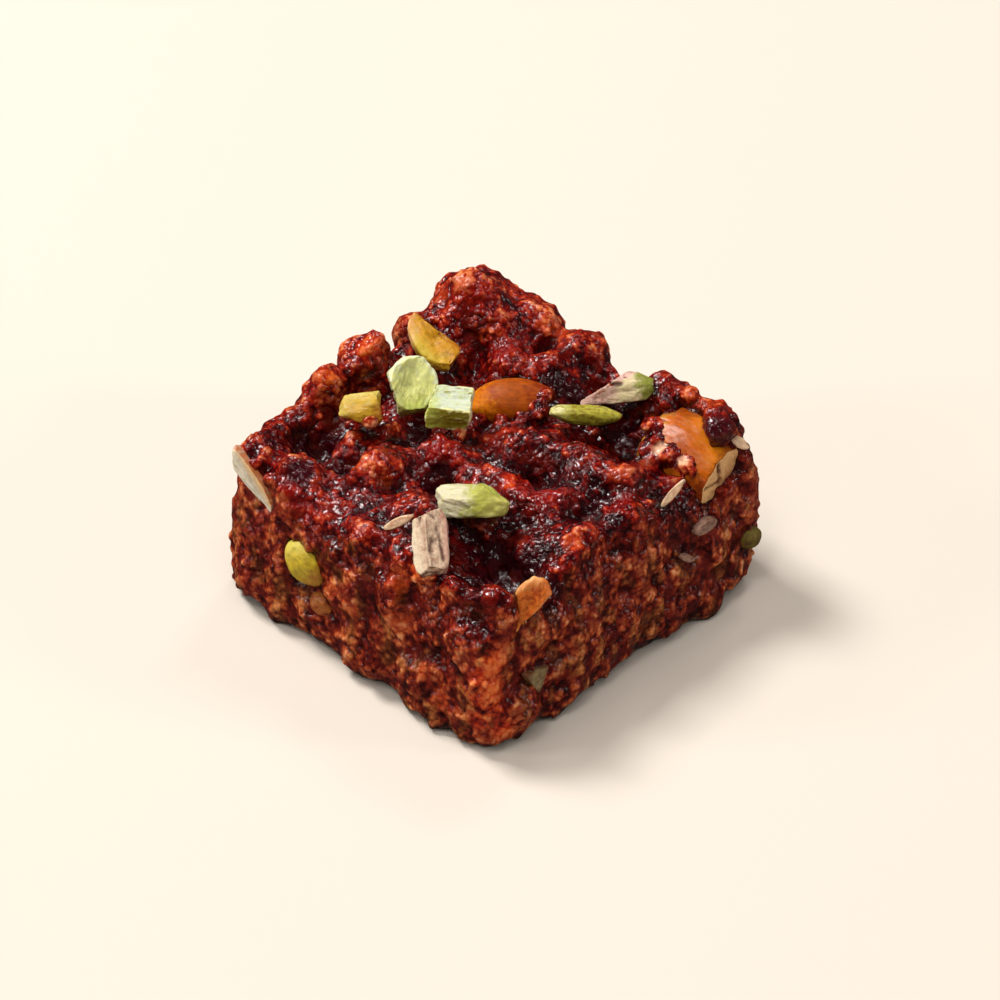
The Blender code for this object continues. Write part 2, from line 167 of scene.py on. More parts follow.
# %% [markdown]
# Some looks follow the shape, such as pale rims on cut nuts. They are worked out on the mesh's points as
# arrays and kept there under a name, which a material can read.

# %% Points as arrays
def points_of(mesh):
    """The mesh's points as an array with one row for each."""
    flat = np.empty(len(mesh.vertices) * 3, np.float32)
    mesh.vertices.foreach_get("co", flat)
    return flat.reshape(-1, 3)


def normals_of(mesh):
    """The direction in which the surface faces at each point."""
    flat = np.empty(len(mesh.vertices) * 3, np.float32)
    mesh.vertex_normals.foreach_get("vector", flat)
    return flat.reshape(-1, 3)


def store(mesh, name, values):
    """Keeps one number, or one direction, for each point under a name that a material can read."""
    kind, part = ("FLOAT", "value") if values.ndim == 1 else ("FLOAT_VECTOR", "vector")
    field = mesh.attributes.new(name, kind, "POINT")
    field.data.foreach_set(part, values.astype(np.float32).ravel())


def proud_of_smooth(piece, rounds, reach):
    """From 0, deep, to 1, proud: how far each point stands above the smoothed surface, over a reach.

    It also returns the direction in which the smoothed surface faces at each point.
    """
    smooth = copy_piece(piece, "smooth")
    apply_modifier(smooth, "SMOOTH", factor=1.0, iterations=rounds)
    lean = normals_of(smooth.data)
    height = ((points_of(piece.data) - points_of(smooth.data)) * lean).sum(1)
    bpy.data.objects.remove(smooth)
    return np.clip(0.5 + height / (2 * reach), 0, 1), lean


# %% [markdown]
# A wire is one output of a node. Because the class below knows plus, minus and times, a pattern can be
# written as a sum, such as `1 - mask * 0.4`, and each sign adds the Math node that does it. Every other node
# comes from one method, which sets the node's options first and then fills its sockets.

# %% Wires and trees of nodes
class Wire:
    """One output of a node. A sum written with it becomes Math nodes."""

    def __init__(self, tree, socket):
        self.tree = tree
        self.socket = socket

    def maths(self, operation, first, second):
        return self.tree.node("ShaderNodeMath", {"operation": operation}, {0: first, 1: second})

    def also(self, output):
        """Another output of the same node."""
        return Wire(self.tree, self.socket.node.outputs[output])

    def __add__(self, other):
        return self.maths("ADD", self, other)

    def __radd__(self, other):
        return self.maths("ADD", other, self)

    def __sub__(self, other):
        return self.maths("SUBTRACT", self, other)

    def __rsub__(self, other):
        return self.maths("SUBTRACT", other, self)

    def __mul__(self, other):
        return self.maths("MULTIPLY", self, other)

    def __rmul__(self, other):
        return self.maths("MULTIPLY", other, self)


class Tree:
    """The nodes of one material, or of one geometry group."""

    def __init__(self, node_tree):
        self.node_tree = node_tree

    def node(self, kind, settings=None, sockets=None, output=0):
        """Adds a node, sets its options, fills its sockets with values or wires, and returns one output."""
        made = self.node_tree.nodes.new(kind)
        for name, value in (settings or {}).items():
            if name == "stops":
                self.set_stops(made.color_ramp, value)
            else:
                setattr(made, name, value)
        for name, value in (sockets or {}).items():
            self.fill(made.inputs[name], value)
        return Wire(self, made.outputs[output]) if made.outputs else None

    def fill(self, socket, value):
        if isinstance(value, Wire):
            self.node_tree.links.new(value.socket, socket)
        else:
            socket.default_value = value

    def set_stops(self, ramp, stops):
        while len(ramp.elements) < len(stops):
            ramp.elements.new(1.0)
        for element, (place, colour) in zip(ramp.elements, stops):
            element.position = place
            element.color = (*colour, 1.0)

    def object_place(self):
        return self.node("ShaderNodeTexCoord", output="Object")

    def attribute(self, name, output="Fac"):
        return self.node("ShaderNodeAttribute", {"attribute_name": name}, output=output)

    def noise(self, place, size_mm, detail=2.0, roughness=0.5):
        """Soft noise from 0 to 1 with features of about this size."""
        return self.node(
            "ShaderNodeTexNoise",
            None,
            {"Vector": place, "Scale": 1 / (size_mm * MM), "Detail": detail, "Roughness": roughness},
        )

    def cells(self, place, size_mm):
        """The distance to the nearest of scattered points, about this far apart."""
        sockets = {"Vector": place, "Scale": 1 / (size_mm * MM)}
        return self.node("ShaderNodeTexVoronoi", {"feature": "F1"}, sockets, "Distance")

    def vector(self, operation, *parts, output="Vector"):
        """A Vector Math node on vectors or wires."""
        return self.node("ShaderNodeVectorMath", {"operation": operation}, dict(enumerate(parts)), output)

    def dot(self, first, second):
        """How far the first vector reaches along the second."""
        return self.vector("DOT_PRODUCT", first, second, output="Value")

    def upward(self, vector):
        """The height in a vector."""
        return self.node("ShaderNodeSeparateXYZ", None, {0: vector}, "Z")

    def between(self, value, low, high):
        """0 below low and 1 above high, with a smooth rise."""
        return self.node(
            "ShaderNodeMapRange",
            {"interpolation_type": "SMOOTHSTEP"},
            {"Value": value, "From Min": low, "From Max": high},
        )

    def mix(self, share, first, second):
        """A colour that goes from the first to the second with the share."""
        first = first if isinstance(first, Wire) else (*first, 1.0)
        second = second if isinstance(second, Wire) else (*second, 1.0)
        return self.node("ShaderNodeMix", {"data_type": "RGBA"}, {0: share, 6: first, 7: second}, output=2)

    def ramp(self, share, stops):
        return self.node("ShaderNodeValToRGB", {"stops": stops}, {"Fac": share}, output="Color")

    def bump(self, height, depth_mm, under=None):
        """Fine relief: height runs from 0 to 1 over this depth."""
        sockets = {"Height": height, "Distance": depth_mm * MM, "Strength": 1.0}
        if under:
            sockets["Normal"] = under
        return self.node("ShaderNodeBump", None, sockets)


def principled(name, **constants):
    """A material with its Principled shader, whose constant values are set on its own sockets."""
    material = bpy.data.materials.new(name)
    material.use_nodes = True
    shader = material.node_tree.nodes["Principled BSDF"]
    for socket, value in constants.items():
        shader.inputs[socket.replace("_", " ")].default_value = value
    return material, Tree(material.node_tree), shader.inputs


def paint(red, green, blue):
    """The linear colour of a paint that shows these screen values, from 0 to 255, in full light."""
    shown = (value / 255 for value in (red, green, blue))
    return tuple(value / 12.92 if value <= 0.04045 else ((value + 0.055) / 1.055) ** 2.4 for value in shown)


# %% [markdown]
# ## The nuts
# Every nut is cut from a real kernel. A copy of each packed nut is given creases on its sharp cuts, rounded
# by subdivision, and roughened by noises that are stretched along the kernel like its fibres. Clefts are
# pressed in where the real nut is split or folded. Each point keeps its place in the nut's own frame, so that
# a finish can tell the cut face from the skin and one end from the other, and keeps how sharp the edge is on
# which it lies.

# %% Refining a packed nut
SHARP_CUT = math.radians(33)
CUT_CREASE = 0.7
FIBRE_STRETCH = 2.6
WRINKLES = ((2.2, 1.0), (0.8, 0.4), (0.35, 0.12))
EDGE_ROUNDS = 10
EDGE_REACH = 0.16 * MM


def own_frame(node, turn):
    """An empty in the middle of a nut, turned with it and stretched along it."""
    low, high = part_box(node)
    bpy.ops.object.select_all(action="DESELECT")
    bpy.ops.object.empty_add(location=(low + high) / 2, rotation=turn)
    handle = bpy.context.object
    handle.scale = (FIBRE_STRETCH, 1, 1)
    return handle


def press_clefts(piece, turned, clefts):
    """Presses grooves into a nut, and returns how deep in one each point lies, from 0 to 1.

    A cleft runs between two places in the nut's own frame, seen along one axis, where -1 and 1 are its ends.
    """
    points = points_of(piece.data)
    lean = normals_of(piece.data)
    own = points @ turned
    middle, half = (own.min(0) + own.max(0)) / 2, (own.max(0) - own.min(0)) / 2
    deepest = np.zeros(len(points))
    for axis, start, end, width, depth in clefts:
        across = [index for index in range(3) if index != axis]
        first = middle[across] + half[across] * start
        line = middle[across] + half[across] * end - first
        share = np.clip((own[:, across] - first) @ line / (line @ line), 0, 1)
        away = np.linalg.norm(own[:, across] - first - share[:, None] * line, axis=1) / (width * MM)
        pressed = np.exp(-away * away) * np.clip(2 * (lean @ turned)[:, axis], 0, 1)
        points -= lean * (pressed * depth * MM)[:, None]
        deepest = np.maximum(deepest, pressed)
    piece.data.vertices.foreach_set("co", points.ravel())
    piece.data.update()
    return deepest


def refine_nut(node, degrees, voxel_mm, wrinkle_mm, clefts):
    """A kernel with softened cuts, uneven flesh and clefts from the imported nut."""
    turn = [math.radians(angle) for angle in degrees]
    piece = copy_node(node, "nut_" + node)
    edit_all(piece)
    bpy.ops.mesh.select_mode(type="EDGE")
    bpy.ops.mesh.select_all(action="DESELECT")
    bpy.ops.mesh.edges_select_sharp(sharpness=SHARP_CUT)
    bpy.ops.transform.edge_crease(value=CUT_CREASE)
    bpy.ops.object.mode_set(mode="OBJECT")
    apply_modifier(piece, "SUBSURF", levels=2, render_levels=2)
    apply_modifier(piece, "REMESH", mode="VOXEL", voxel_size=voxel_mm * MM)
    apply_modifier(piece, "SMOOTH", factor=0.5, iterations=2)
    handle = own_frame(node, turn)
    for size, share in WRINKLES:
        texture = cloud_texture("wrinkle_" + node, size * MM)
        apply_modifier(
            piece, "DISPLACE", texture=texture, texture_coords="OBJECT", texture_coords_object=handle,
            strength=wrinkle_mm * share * MM, mid_level=0.5,
        )
    bpy.data.objects.remove(handle)
    select_only(piece)
    bpy.ops.object.shade_smooth()
    turned = np.array(Euler(turn).to_matrix())
    store(piece.data, "cleft", press_clefts(piece, turned, clefts))
    own = points_of(piece.data) @ turned
    low, high = own.min(0), own.max(0)
    store(piece.data, "own_place", (own - (low + high) / 2) / ((high - low) / 2))
    store(piece.data, "fibre_place", own / (FIBRE_STRETCH, 1, 1))
    store(piece.data, "own_lean", normals_of(piece.data) @ turned)
    store(piece.data, "lean", normals_of(piece.data))
    edge, _ = proud_of_smooth(piece, EDGE_ROUNDS, EDGE_REACH)
    store(piece.data, "edge", edge)
    return piece


# %% [markdown]
# A finish is laid in layers over one colour of flesh. Each layer has a colour and says where it goes: where
# the nut faces along one of its own axes, towards one end of it, by how it faces up or down in the room, which
# paints shade underneath, on its edges, in its clefts, where a dark colour paints shade in the folds, in a
# ring, in spots or as a smear of fudge. A mottle and the run of the fibres break up the borders, so that no
# patch looks printed. Each kind of layer has its own share of this unrest. Last, the flesh is darkened where
# its grain and fibres run low, as painted shade in the pits of the bump.

# %% Layered finishes
UNREST = {"edge": 0.25, "cleft": 1.6, "smear": 2.2, "spots": 0.0}
USUAL_UNREST = 0.7
MOTTLE_MM = 1.3
FIBRE_MM = 0.42
GRAIN_MM = 0.32
DIM_SHARE = 0.62
DARK_SHARE = 0.3


def darker(colour, share):
    """A colour with this share of its light."""
    return tuple(share * value for value in colour)


def nut_finish(name, flesh, layers, rough=0.42, shine=0.5, bump_mm=0.10, scatter=0.3):
    """A material of flesh with layers of (kind, setting, low, high, colour, strength).

    A layer starts where its pattern passes low, and is whole, up to its strength, from high on.
    """
    material, tree, shader = principled(
        name, Subsurface_Weight=scatter, Subsurface_Scale=0.0012, Subsurface_Radius=(1.0, 0.75, 0.3),
        IOR=1.45, Specular_IOR_Level=shine,
    )
    place = tree.object_place()
    own_place = tree.attribute("own_place", "Vector")
    own_lean = tree.attribute("own_lean", "Vector")
    lean = tree.attribute("lean", "Vector")
    mottle = tree.noise(place, MOTTLE_MM, 3.0, 0.65)
    fibre = tree.noise(tree.attribute("fibre_place", "Vector"), FIBRE_MM, 3.0, 0.6)
    grain = tree.noise(place, GRAIN_MM, 2.0, 0.6)
    dim = tree.between(mottle * 0.5 + fibre * 0.5, 0.42, 0.62)
    colour = tree.mix(dim, flesh, darker(flesh, DIM_SHARE))
    for kind, setting, low, high, tint, strength in layers:
        if kind == "facing":
            value = tree.dot(own_lean, setting)
        elif kind in ("lies", "smear"):
            value = tree.dot(own_place, setting)
        elif kind == "lit":
            # Painted shade: a layer of this kind darkens the nut where it faces down in the room.
            value = tree.dot(lean, setting)
        elif kind == "ring":
            value = tree.vector("LENGTH", tree.vector("MULTIPLY", own_place, setting), output="Value")
        elif kind in ("edge", "cleft"):
            value = tree.attribute(kind)
        else:
            value = tree.noise(place, setting, 2.0, 0.6)
        unrest = UNREST.get(kind, USUAL_UNREST)
        value = value + (mottle - 0.5) * unrest + (fibre - 0.5) * (unrest * 0.7)
        colour = tree.mix(tree.between(value, low, high) * strength, colour, tint)
    # Painted shade: the flesh is darkened where the grain and fibres of the bump run low.
    shaded = tree.between(grain * 0.5 + fibre * 0.5, 0.46, 0.32) * 0.35
    colour = tree.mix(shaded, colour, darker(flesh, DARK_SHARE))
    tree.fill(shader["Base Color"], colour)
    tree.fill(shader["Roughness"], rough + (grain - 0.5) * 0.35)
    tree.fill(shader["Normal"], tree.bump(grain * 0.5 + fibre * 0.7, bump_mm))
    return material


# %% [markdown]
# Bare pistachio kernels run from a golden outside through yellow-green flesh to whitish edges where they were
# chopped. UP, SIDE and END are directions in the nut's own frame, where it lies along its first axis. The one
# exception is the layer of painted shade below a nut, which uses the direction up in the room.

# %% Finishes of bare kernels
UP = (0, 0, 1)
SIDE = (0, -1, 0)
END = (1, 0, 0)

FINISHES = {
    "pistachio_gold": nut_finish("golden_kernel", paint(200, 142, 26), [
        ("lies", (0.3, -0.9, 0), 0.0, 0.8, paint(190, 168, 52), 0.8),
        ("lies", (0, 1, 0), 0.25, 0.9, paint(176, 96, 22), 0.8),
        ("lies", (-0.8, -0.8, 0), 0.65, 1.1, paint(226, 170, 112), 0.8),
        ("lit", UP, 0.2, -0.6, paint(120, 74, 8), 0.8),
        ("edge", None, 0.62, 0.85, paint(226, 184, 96), 0.6),
        ("spots", 0.9, 0.55, 0.72, paint(156, 96, 10), 0.6),
    ], shine=0.3),
    "pistachio_round": nut_finish("round_kernel", paint(212, 212, 132), [
        ("lies", (0.5, 0, 0), 0.1, 0.5, paint(222, 222, 160), 0.8),
        ("ring", (1, 1, 0), 0.68, 0.98, paint(218, 224, 192), 0.9),
        ("lies", (-1, -0.3, 0), 0.35, 0.95, paint(172, 180, 62), 0.8),
        ("facing", UP, 0.4, -0.2, paint(196, 202, 148), 0.8),
        ("lit", UP, 0.1, -0.6, paint(92, 84, 14), 0.8),
        ("edge", None, 0.6, 0.85, paint(226, 230, 200), 0.7),
    ], shine=0.3, scatter=0.5),
    "pistachio_block": nut_finish("blocky_kernel", paint(150, 156, 58), [
        # Partly painted light and shade: the top is paler and the front side darker, partly the kernel's own
        # cut colours, partly painted light on top and painted shade at the front.
        ("facing", UP, 0.45, 0.8, paint(204, 210, 186), 0.95),
        ("spots", 1.2, 0.48, 0.62, paint(188, 196, 138), 0.7),
        ("facing", SIDE, 0.4, 0.8, paint(136, 122, 26), 0.9),
        ("smear", (0, -1, -1), 1.2, 2.1, paint(112, 52, 16), 0.8),
        ("lies", (-1, 0, 0), 0.2, 0.8, paint(178, 188, 78), 0.8),
        ("facing", END, 0.4, 0.8, paint(218, 206, 168), 0.85),
        ("edge", None, 0.55, 0.72, paint(230, 226, 164), 0.9),
    ], shine=0.3, scatter=0.5),
    "pistachio_yellow": nut_finish("yellow_kernel", paint(194, 150, 38), [
        # Partly painted light and shade: paler towards the upper side and darker orange towards the lower end,
        # besides the kernel's own tones.
        ("lies", (0, 0.7, 0.7), 0.3, 1.0, paint(208, 190, 98), 0.8),
        ("lies", (-1, 0, 0), 0.4, 1.0, paint(214, 194, 104), 0.7),
        ("lies", (1, -0.5, -0.4), 0.4, 1.1, paint(194, 116, 34), 0.8),
        ("smear", (0, -0.7, -0.8), 0.7, 1.5, paint(140, 50, 24), 0.7),
        ("edge", None, 0.62, 0.85, paint(226, 204, 118), 0.5),
    ], shine=0.3),
    "pistachio_sliver": nut_finish("green_slice", paint(172, 164, 50), [
        ("lies", (-1, 0, 0.2), 0.45, 0.95, paint(206, 198, 128), 0.9),
        ("spots", 0.6, 0.50, 0.64, paint(126, 96, 22), 0.8),
        ("smear", (1, 0, 0), 0.9, 1.6, paint(128, 60, 22), 0.8),
        ("lit", UP, 0.35, -0.3, paint(92, 84, 12), 0.9),
        ("edge", None, 0.62, 0.85, paint(204, 200, 110), 0.5),
    ]),
    "pistachio_pale": nut_finish("pale_kernel", paint(180, 180, 80), [
        ("lies", (1, -0.3, 0.3), 0.6, 1.1, paint(198, 188, 104), 0.8),
        ("lies", (-1, 0, 0.2), -0.10, 0.40, paint(208, 200, 168), 0.95),
        # Painted shade: the underside is painted dark green.
        ("lies", (0.3, -0.5, -0.9), 0.40, 1.10, paint(98, 102, 18), 0.85),
        ("spots", 0.9, 0.54, 0.70, paint(158, 158, 74), 0.5),
        ("smear", (1, -0.6, 0), 1.3, 2.0, paint(120, 60, 22), 0.6),
        ("edge", None, 0.62, 0.85, paint(222, 218, 172), 0.6),
    ], shine=0.3, bump_mm=0.06, scatter=0.4),
    "pistachio_green": nut_finish("green_kernel", paint(196, 168, 34), [
        ("lies", (-1, 0.2, 0), 0.3, 0.9, paint(208, 192, 84), 0.8),
        ("lies", (1, 0, 0), 0.15, 0.9, paint(168, 104, 30), 0.85),
        ("smear", (1, -0.6, 0), 0.9, 1.6, paint(130, 62, 24), 0.8),
        ("spots", 0.9, 0.55, 0.72, paint(144, 132, 26), 0.6),
        ("edge", None, 0.62, 0.85, paint(206, 196, 110), 0.5),
    ], rough=0.5),
    # Painted shade: a darker copy of the green kernel, for the nut on the darker right face.
    "pistachio_green_in_shade": nut_finish("dark_green_kernel", paint(112, 96, 26), [
        ("spots", 0.9, 0.46, 0.66, paint(86, 54, 18), 0.8),
        ("smear", (-1, 0, 0), 0.3, 1.6, paint(90, 36, 18), 0.9),
    ], rough=0.55, scatter=0.1),
}

# %% [markdown]
# Two kernels still wear their thin papery skin. It is pinkish, dull and wrinkled, and lets little light
# through. It is painted dark in its folds and underneath, as painted shade. On one of them the green flesh
# shows at the far end.

# %% Finishes of kernels in their skins
FINISHES.update({
    "pistachio_skin_top": nut_finish("kernel_in_skin", paint(216, 174, 158), [
        ("spots", 0.8, 0.50, 0.68, paint(150, 98, 88), 0.6),
        ("lies", (1, -0.5, 0), 0.1, 0.5, paint(222, 208, 158), 0.85),
        ("lies", (1, 0, 0), 0.45, 0.75, paint(122, 128, 30), 0.95),
        ("smear", (1, -0.5, 0), 1.3, 1.8, paint(96, 34, 16), 0.7),
        # Painted shade: the clefts are painted dark.
        ("cleft", None, 0.3, 1.3, paint(80, 40, 30), 0.8),
        ("lit", UP, 0.15, -0.35, paint(78, 36, 24), 0.9),
        ("edge", None, 0.62, 0.85, paint(236, 210, 192), 0.7),
    ], rough=0.55, shine=0.3, bump_mm=0.15, scatter=0.15),
    "pistachio_husk": nut_finish("husky_kernel", paint(206, 176, 148), [
        ("spots", 0.7, 0.50, 0.66, paint(166, 126, 100), 0.8),
        ("lies", (0, -1, 0), 0.3, 0.8, paint(222, 204, 174), 0.8),
        ("lies", (0, 1, 0), 0.5, 0.9, paint(192, 134, 120), 0.7),
        # Painted shade: the clefts are painted dark.
        ("cleft", None, 0.3, 1.3, paint(80, 44, 30), 0.9),
        ("lit", UP, 0.1, -0.4, paint(88, 48, 36), 0.9),
        ("smear", (1, 0, 0), 1.0, 1.7, paint(130, 46, 30), 0.8),
        ("edge", None, 0.6, 0.82, paint(228, 204, 174), 0.7),
    ], rough=0.6, shine=0.3, bump_mm=0.2, scatter=0.15),
})

# %% [markdown]
# Almonds are cut flush with the sides or lie there as thin slices. Their flesh is ivory to beige with a brown
# skin at the rim, and the dull ones are half covered by a film of fudge.

# %% Finishes of bare almonds
FINISHES.update({
    "almond_cut": nut_finish("cut_almond", paint(228, 218, 196), [
        ("lies", (0, 1, 0), 0.1, 0.8, paint(222, 176, 116), 0.85),
        ("facing", UP, 0.75, 0.40, paint(168, 84, 34), 0.9),
        ("smear", (0.4, 1, -0.4), 1.0, 1.6, paint(120, 40, 16), 0.8),
        ("spots", 1.4, 0.50, 0.72, paint(198, 192, 164), 0.7),
    ], bump_mm=0.06),
    "almond_pale": nut_finish("pale_almond", paint(222, 186, 152), [
        ("edge", None, 0.6, 0.85, paint(232, 208, 182), 0.6),
        ("spots", 0.8, 0.48, 0.68, paint(180, 130, 100), 0.7),
        ("smear", (1, 0, -0.5), 0.5, 1.6, paint(130, 66, 44), 0.7),
    ]),
    "almond_dull": nut_finish("dull_almond", paint(158, 120, 102), [
        ("edge", None, 0.6, 0.85, paint(176, 144, 118), 0.6),
        ("spots", 0.8, 0.46, 0.66, paint(112, 70, 54), 0.8),
        ("smear", (1, 0.4, 0), 1.0, 1.8, paint(104, 44, 28), 0.7),
    ], rough=0.55),
    "almond_chip": nut_finish("chip_of_almond", paint(146, 124, 84), [
        ("spots", 0.8, 0.46, 0.66, paint(104, 78, 48), 0.8),
        ("ring", (1, 1, 0), 0.55, 0.95, paint(96, 42, 20), 0.85),
    ], rough=0.55),
})

# %% [markdown]
# The nuts in syrup are deep orange and smooth. They are given a strong orange flesh and almost no bump, and
# not a clear coat, because a coat mirrors the pale floor and greys the orange. The fudge reddens their rims. A
# pale yellow at one end of the almond is a painted highlight. The cashew's brighter orange towards one end is
# partly its own colour and partly a painted highlight. The flake of caramel and the crumb of nut are rougher.

# %% Finishes of glazed nuts and caramel
FUDGE_RED = paint(96, 18, 10)

FINISHES.update({
    "almond_glazed": nut_finish("glazed_almond", paint(190, 92, 2), [
        ("spots", 3.2, 0.46, 0.70, paint(150, 58, 0), 0.7),
        ("lies", (0.6, 0.8, 0), 0.2, 1.0, paint(226, 138, 14), 0.85),
        # Painted highlight: pale yellow towards one end stands in for the shine of the glaze.
        ("lies", (-0.8, -0.2, 0), 0.35, 0.8, paint(238, 184, 72), 0.8),
        ("smear", (-0.9, -0.7, 0.2), 1.2, 2.2, FUDGE_RED, 0.8),
        ("ring", (0.9, 1, 0), 0.70, 1.05, paint(112, 26, 4), 0.7),
        ("facing", END, 0.50, 0.62, paint(122, 54, 14), 1.0),
        ("facing", END, 0.72, 0.84, paint(222, 176, 120), 0.95),
        ("smear", (1.3, 0.3, -1), 1.0, 2.2, paint(140, 66, 30), 0.7),
        # Painted shade: the cleft between the halves of the cut face is painted dark.
        ("cleft", None, 0.3, 1.2, paint(80, 28, 10), 0.9),
    ], rough=0.34, shine=0.32, bump_mm=0.012),
    "cashew_glazed": nut_finish("glazed_cashew", paint(168, 76, 0), [
        # Partly painted highlight: a brighter orange towards the cashew's left end.
        ("lies", (-0.5, 0, 0), 0.1, 0.5, paint(230, 134, 14), 0.8),
        ("spots", 2.2, 0.5, 0.7, paint(140, 52, 0), 0.7),
        ("lies", (0, 0.6, 0.4), 0.5, 0.9, paint(158, 66, 2), 0.7),
        ("lies", (1, 0, 0), 0.1, 0.95, paint(120, 22, 2), 0.9),
        ("smear", (0.9, -0.5, -0.3), 0.4, 1.4, FUDGE_RED, 0.85),
    ], rough=0.5, shine=0.2, bump_mm=0.05),
    "caramel": nut_finish("caramel_bit", paint(216, 112, 36), [
        ("spots", 0.9, 0.48, 0.66, paint(156, 56, 14), 0.8),
        ("lies", (0.8, 0.5, 0), 0.4, 1.0, paint(228, 164, 96), 0.8),
        ("smear", (-1, -0.4, 0), 0.7, 1.6, paint(128, 40, 16), 0.8),
        ("edge", None, 0.6, 0.85, paint(230, 164, 92), 0.6),
    ], rough=0.36, bump_mm=0.15),
    "crumb": nut_finish("nut_crumb", paint(176, 100, 36), [
        ("spots", 0.9, 0.48, 0.66, paint(128, 50, 16), 0.8),
        ("smear", (1, 0, 0), 0.8, 1.8, paint(110, 36, 14), 0.8),
    ], rough=0.45, bump_mm=0.15),
})
print("finishes:", len(FINISHES))

# %% [markdown]
# The first table gives each nut its finish, its material slot in the row, its turn in degrees as it lies in
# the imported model, and how deep its wrinkles are in millimetres. The second gives the clefts: the axis along
# which the nut is looked at, both ends, the width and the depth in millimetres.

# %% The nuts and their clefts
NUTS = {
    "pistachio_gold": ("pistachio_gold", "pistachio_gold", (15, 19, -14), 0.7),
    "pistachio_round": ("pistachio_round", "pistachio", (26, -32, 117), 0.7),
    "pistachio_block": ("pistachio_block", "pistachio", (4, -3, 46), 0.9),
    "pistachio_yellow": ("pistachio_yellow", "pistachio_gold", (11, -3, 47), 0.7),
    "pistachio_skin_top": ("pistachio_skin_top", "pistachio_skin", (22, -14, 45), 0.6),
    "pistachio_sliver": ("pistachio_sliver", "pistachio", (6, 3, 41), 0.4),
    "pistachio_pale": ("pistachio_pale", "pistachio", (26, -4, 32), 0.8),
    "pistachio_husk": ("pistachio_husk", "pistachio_skin", (7, 21, -39), 0.6),
    "pistachio_left": ("pistachio_green", "pistachio", (90, 32, 0), 0.5),
    "pistachio_right": ("pistachio_green_in_shade", "pistachio", (70, 0, 80), 0.3),
    "pistachio_back": ("pistachio_green", "pistachio", (-90, 34, 0), 0.5),
    "cashew_top": ("cashew_glazed", "glazed_nut", (9, 0, 44), 0.15),
    "almond_right": ("almond_glazed", "glazed_nut", (35, 3, 2), 0.25),
    "almond_right_low": ("almond_dull", "almond", (86, 2, 88), 0.3),
    "almond_sliver_low": ("almond_dull", "almond", (86, 35, 88), 0.2),
    "almond_left": ("almond_cut", "almond", (90, 44, 0), 0.4),
    "almond_back": ("almond_cut", "almond", (90, -24, -90), 0.4),
    "almond_chip_front": ("almond_chip", "almond", (90, 0, 90), 0.5),
    "almond_fleck": ("almond_pale", "almond", (43, 19, 13), 0.2),
    "nut_crumb_left": ("crumb", "glazed_nut", (90, 20, 0), 0.4),
    "caramel_flake": ("caramel", "glazed_nut", (26, -57, 100), 0.8),
    "splinter_left": ("almond_pale", "almond", (52, -25, 51), 0.15),
    "splinter_right": ("almond_pale", "almond", (44, -44, 72), 0.15),
}
CLEFTS = {
    "pistachio_gold": [(2, (0.15, 0.9), (0.0, 0.2), 0.6, 0.5), (2, (-0.6, 0.1), (0.6, -0.2), 0.4, 0.15)],
    "pistachio_round": [(2, (-0.3, 0.0), (0.3, 0.1), 1.7, 0.35)],
    "pistachio_block": [(2, (-0.9, 0.2), (0.7, 0.4), 0.9, 0.15)],
    "pistachio_skin_top": [(2, (-0.2, 0.5), (0.35, 0.3), 0.3, 0.3), (2, (-0.8, -0.1), (0.2, -0.2), 0.3, 0.2)],
    "pistachio_sliver": [(2, (-0.6, 0.0), (0.7, 0.1), 0.3, 0.12)],
    "pistachio_pale": [(2, (-0.1, 0.7), (0.0, -0.5), 0.5, 0.2)],
    "pistachio_husk": [
        (2, (-0.40, -0.56), (-0.82, -0.24), 0.4, 0.28), (2, (-0.82, -0.24), (-0.55, 0.35), 0.35, 0.25),
        (2, (0.15, 0.12), (0.42, 0.05), 0.5, 0.3), (2, (-0.3, 0.45), (0.7, 0.55), 0.35, 0.12),
    ],
    "pistachio_left": [(2, (-0.5, 0.1), (0.6, -0.1), 0.35, 0.15)],
    "almond_right": [(0, (-0.5, 0.3), (-0.1, -0.3), 0.45, 0.25), (0, (-0.1, -0.35), (0.12, 0.5), 0.45, 0.25)],
    "almond_left": [(2, (-0.6, 0.1), (0.6, 0.0), 0.35, 0.1)],
}

# %% [markdown]
# A voxel remesh gives every nut small even faces, which the wrinkles need. The small nuts get finer ones, so
# that their thin edges survive.

# %% Making the nuts
SMALL_NUT = 5.5 * MM
VOXEL_MM = 0.12
SMALL_VOXEL_MM = 0.07

nut_pieces = []
for node, (finish, slot, turn, wrinkle) in NUTS.items():
    low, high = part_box(node)
    voxel = SMALL_VOXEL_MM if max(high - low) < SMALL_NUT else VOXEL_MM
    piece = refine_nut(node, turn, voxel, wrinkle, CLEFTS.get(node, []))
    piece.data.materials.append(FINISHES[finish])
    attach(piece, "root")
    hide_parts(node)
    nut_pieces.append(piece)
print("nuts:", len(nut_pieces), "faces:", sum(len(piece.data.polygons) for piece in nut_pieces))


# %% [markdown]
# ## The fudge
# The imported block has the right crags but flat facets. On the real square every crag is a heap of grains. So
# a copy is thinned a little, strewn with grains of fudge, and fused with them into one skin by a voxel
# remesh, the way that the sticky grains fuse in the pan. The grains are modelled once, as four kinds of
# flattened lumps, and each kind is a little shorter and thicker than the one before, with larger lumps.

# %% Grains of fudge, modelled once
GRAIN_KINDS = 4
GRAIN_RADIUS = 1.0 * MM
GRAIN_LENGTH, LENGTH_STEP = 1.3, -0.1
GRAIN_WIDTH = 0.9
GRAIN_THICKNESS, THICKNESS_STEP = 0.62, 0.06
GRAIN_LUMP_MM, LUMP_STEP_MM = 0.6, 0.12


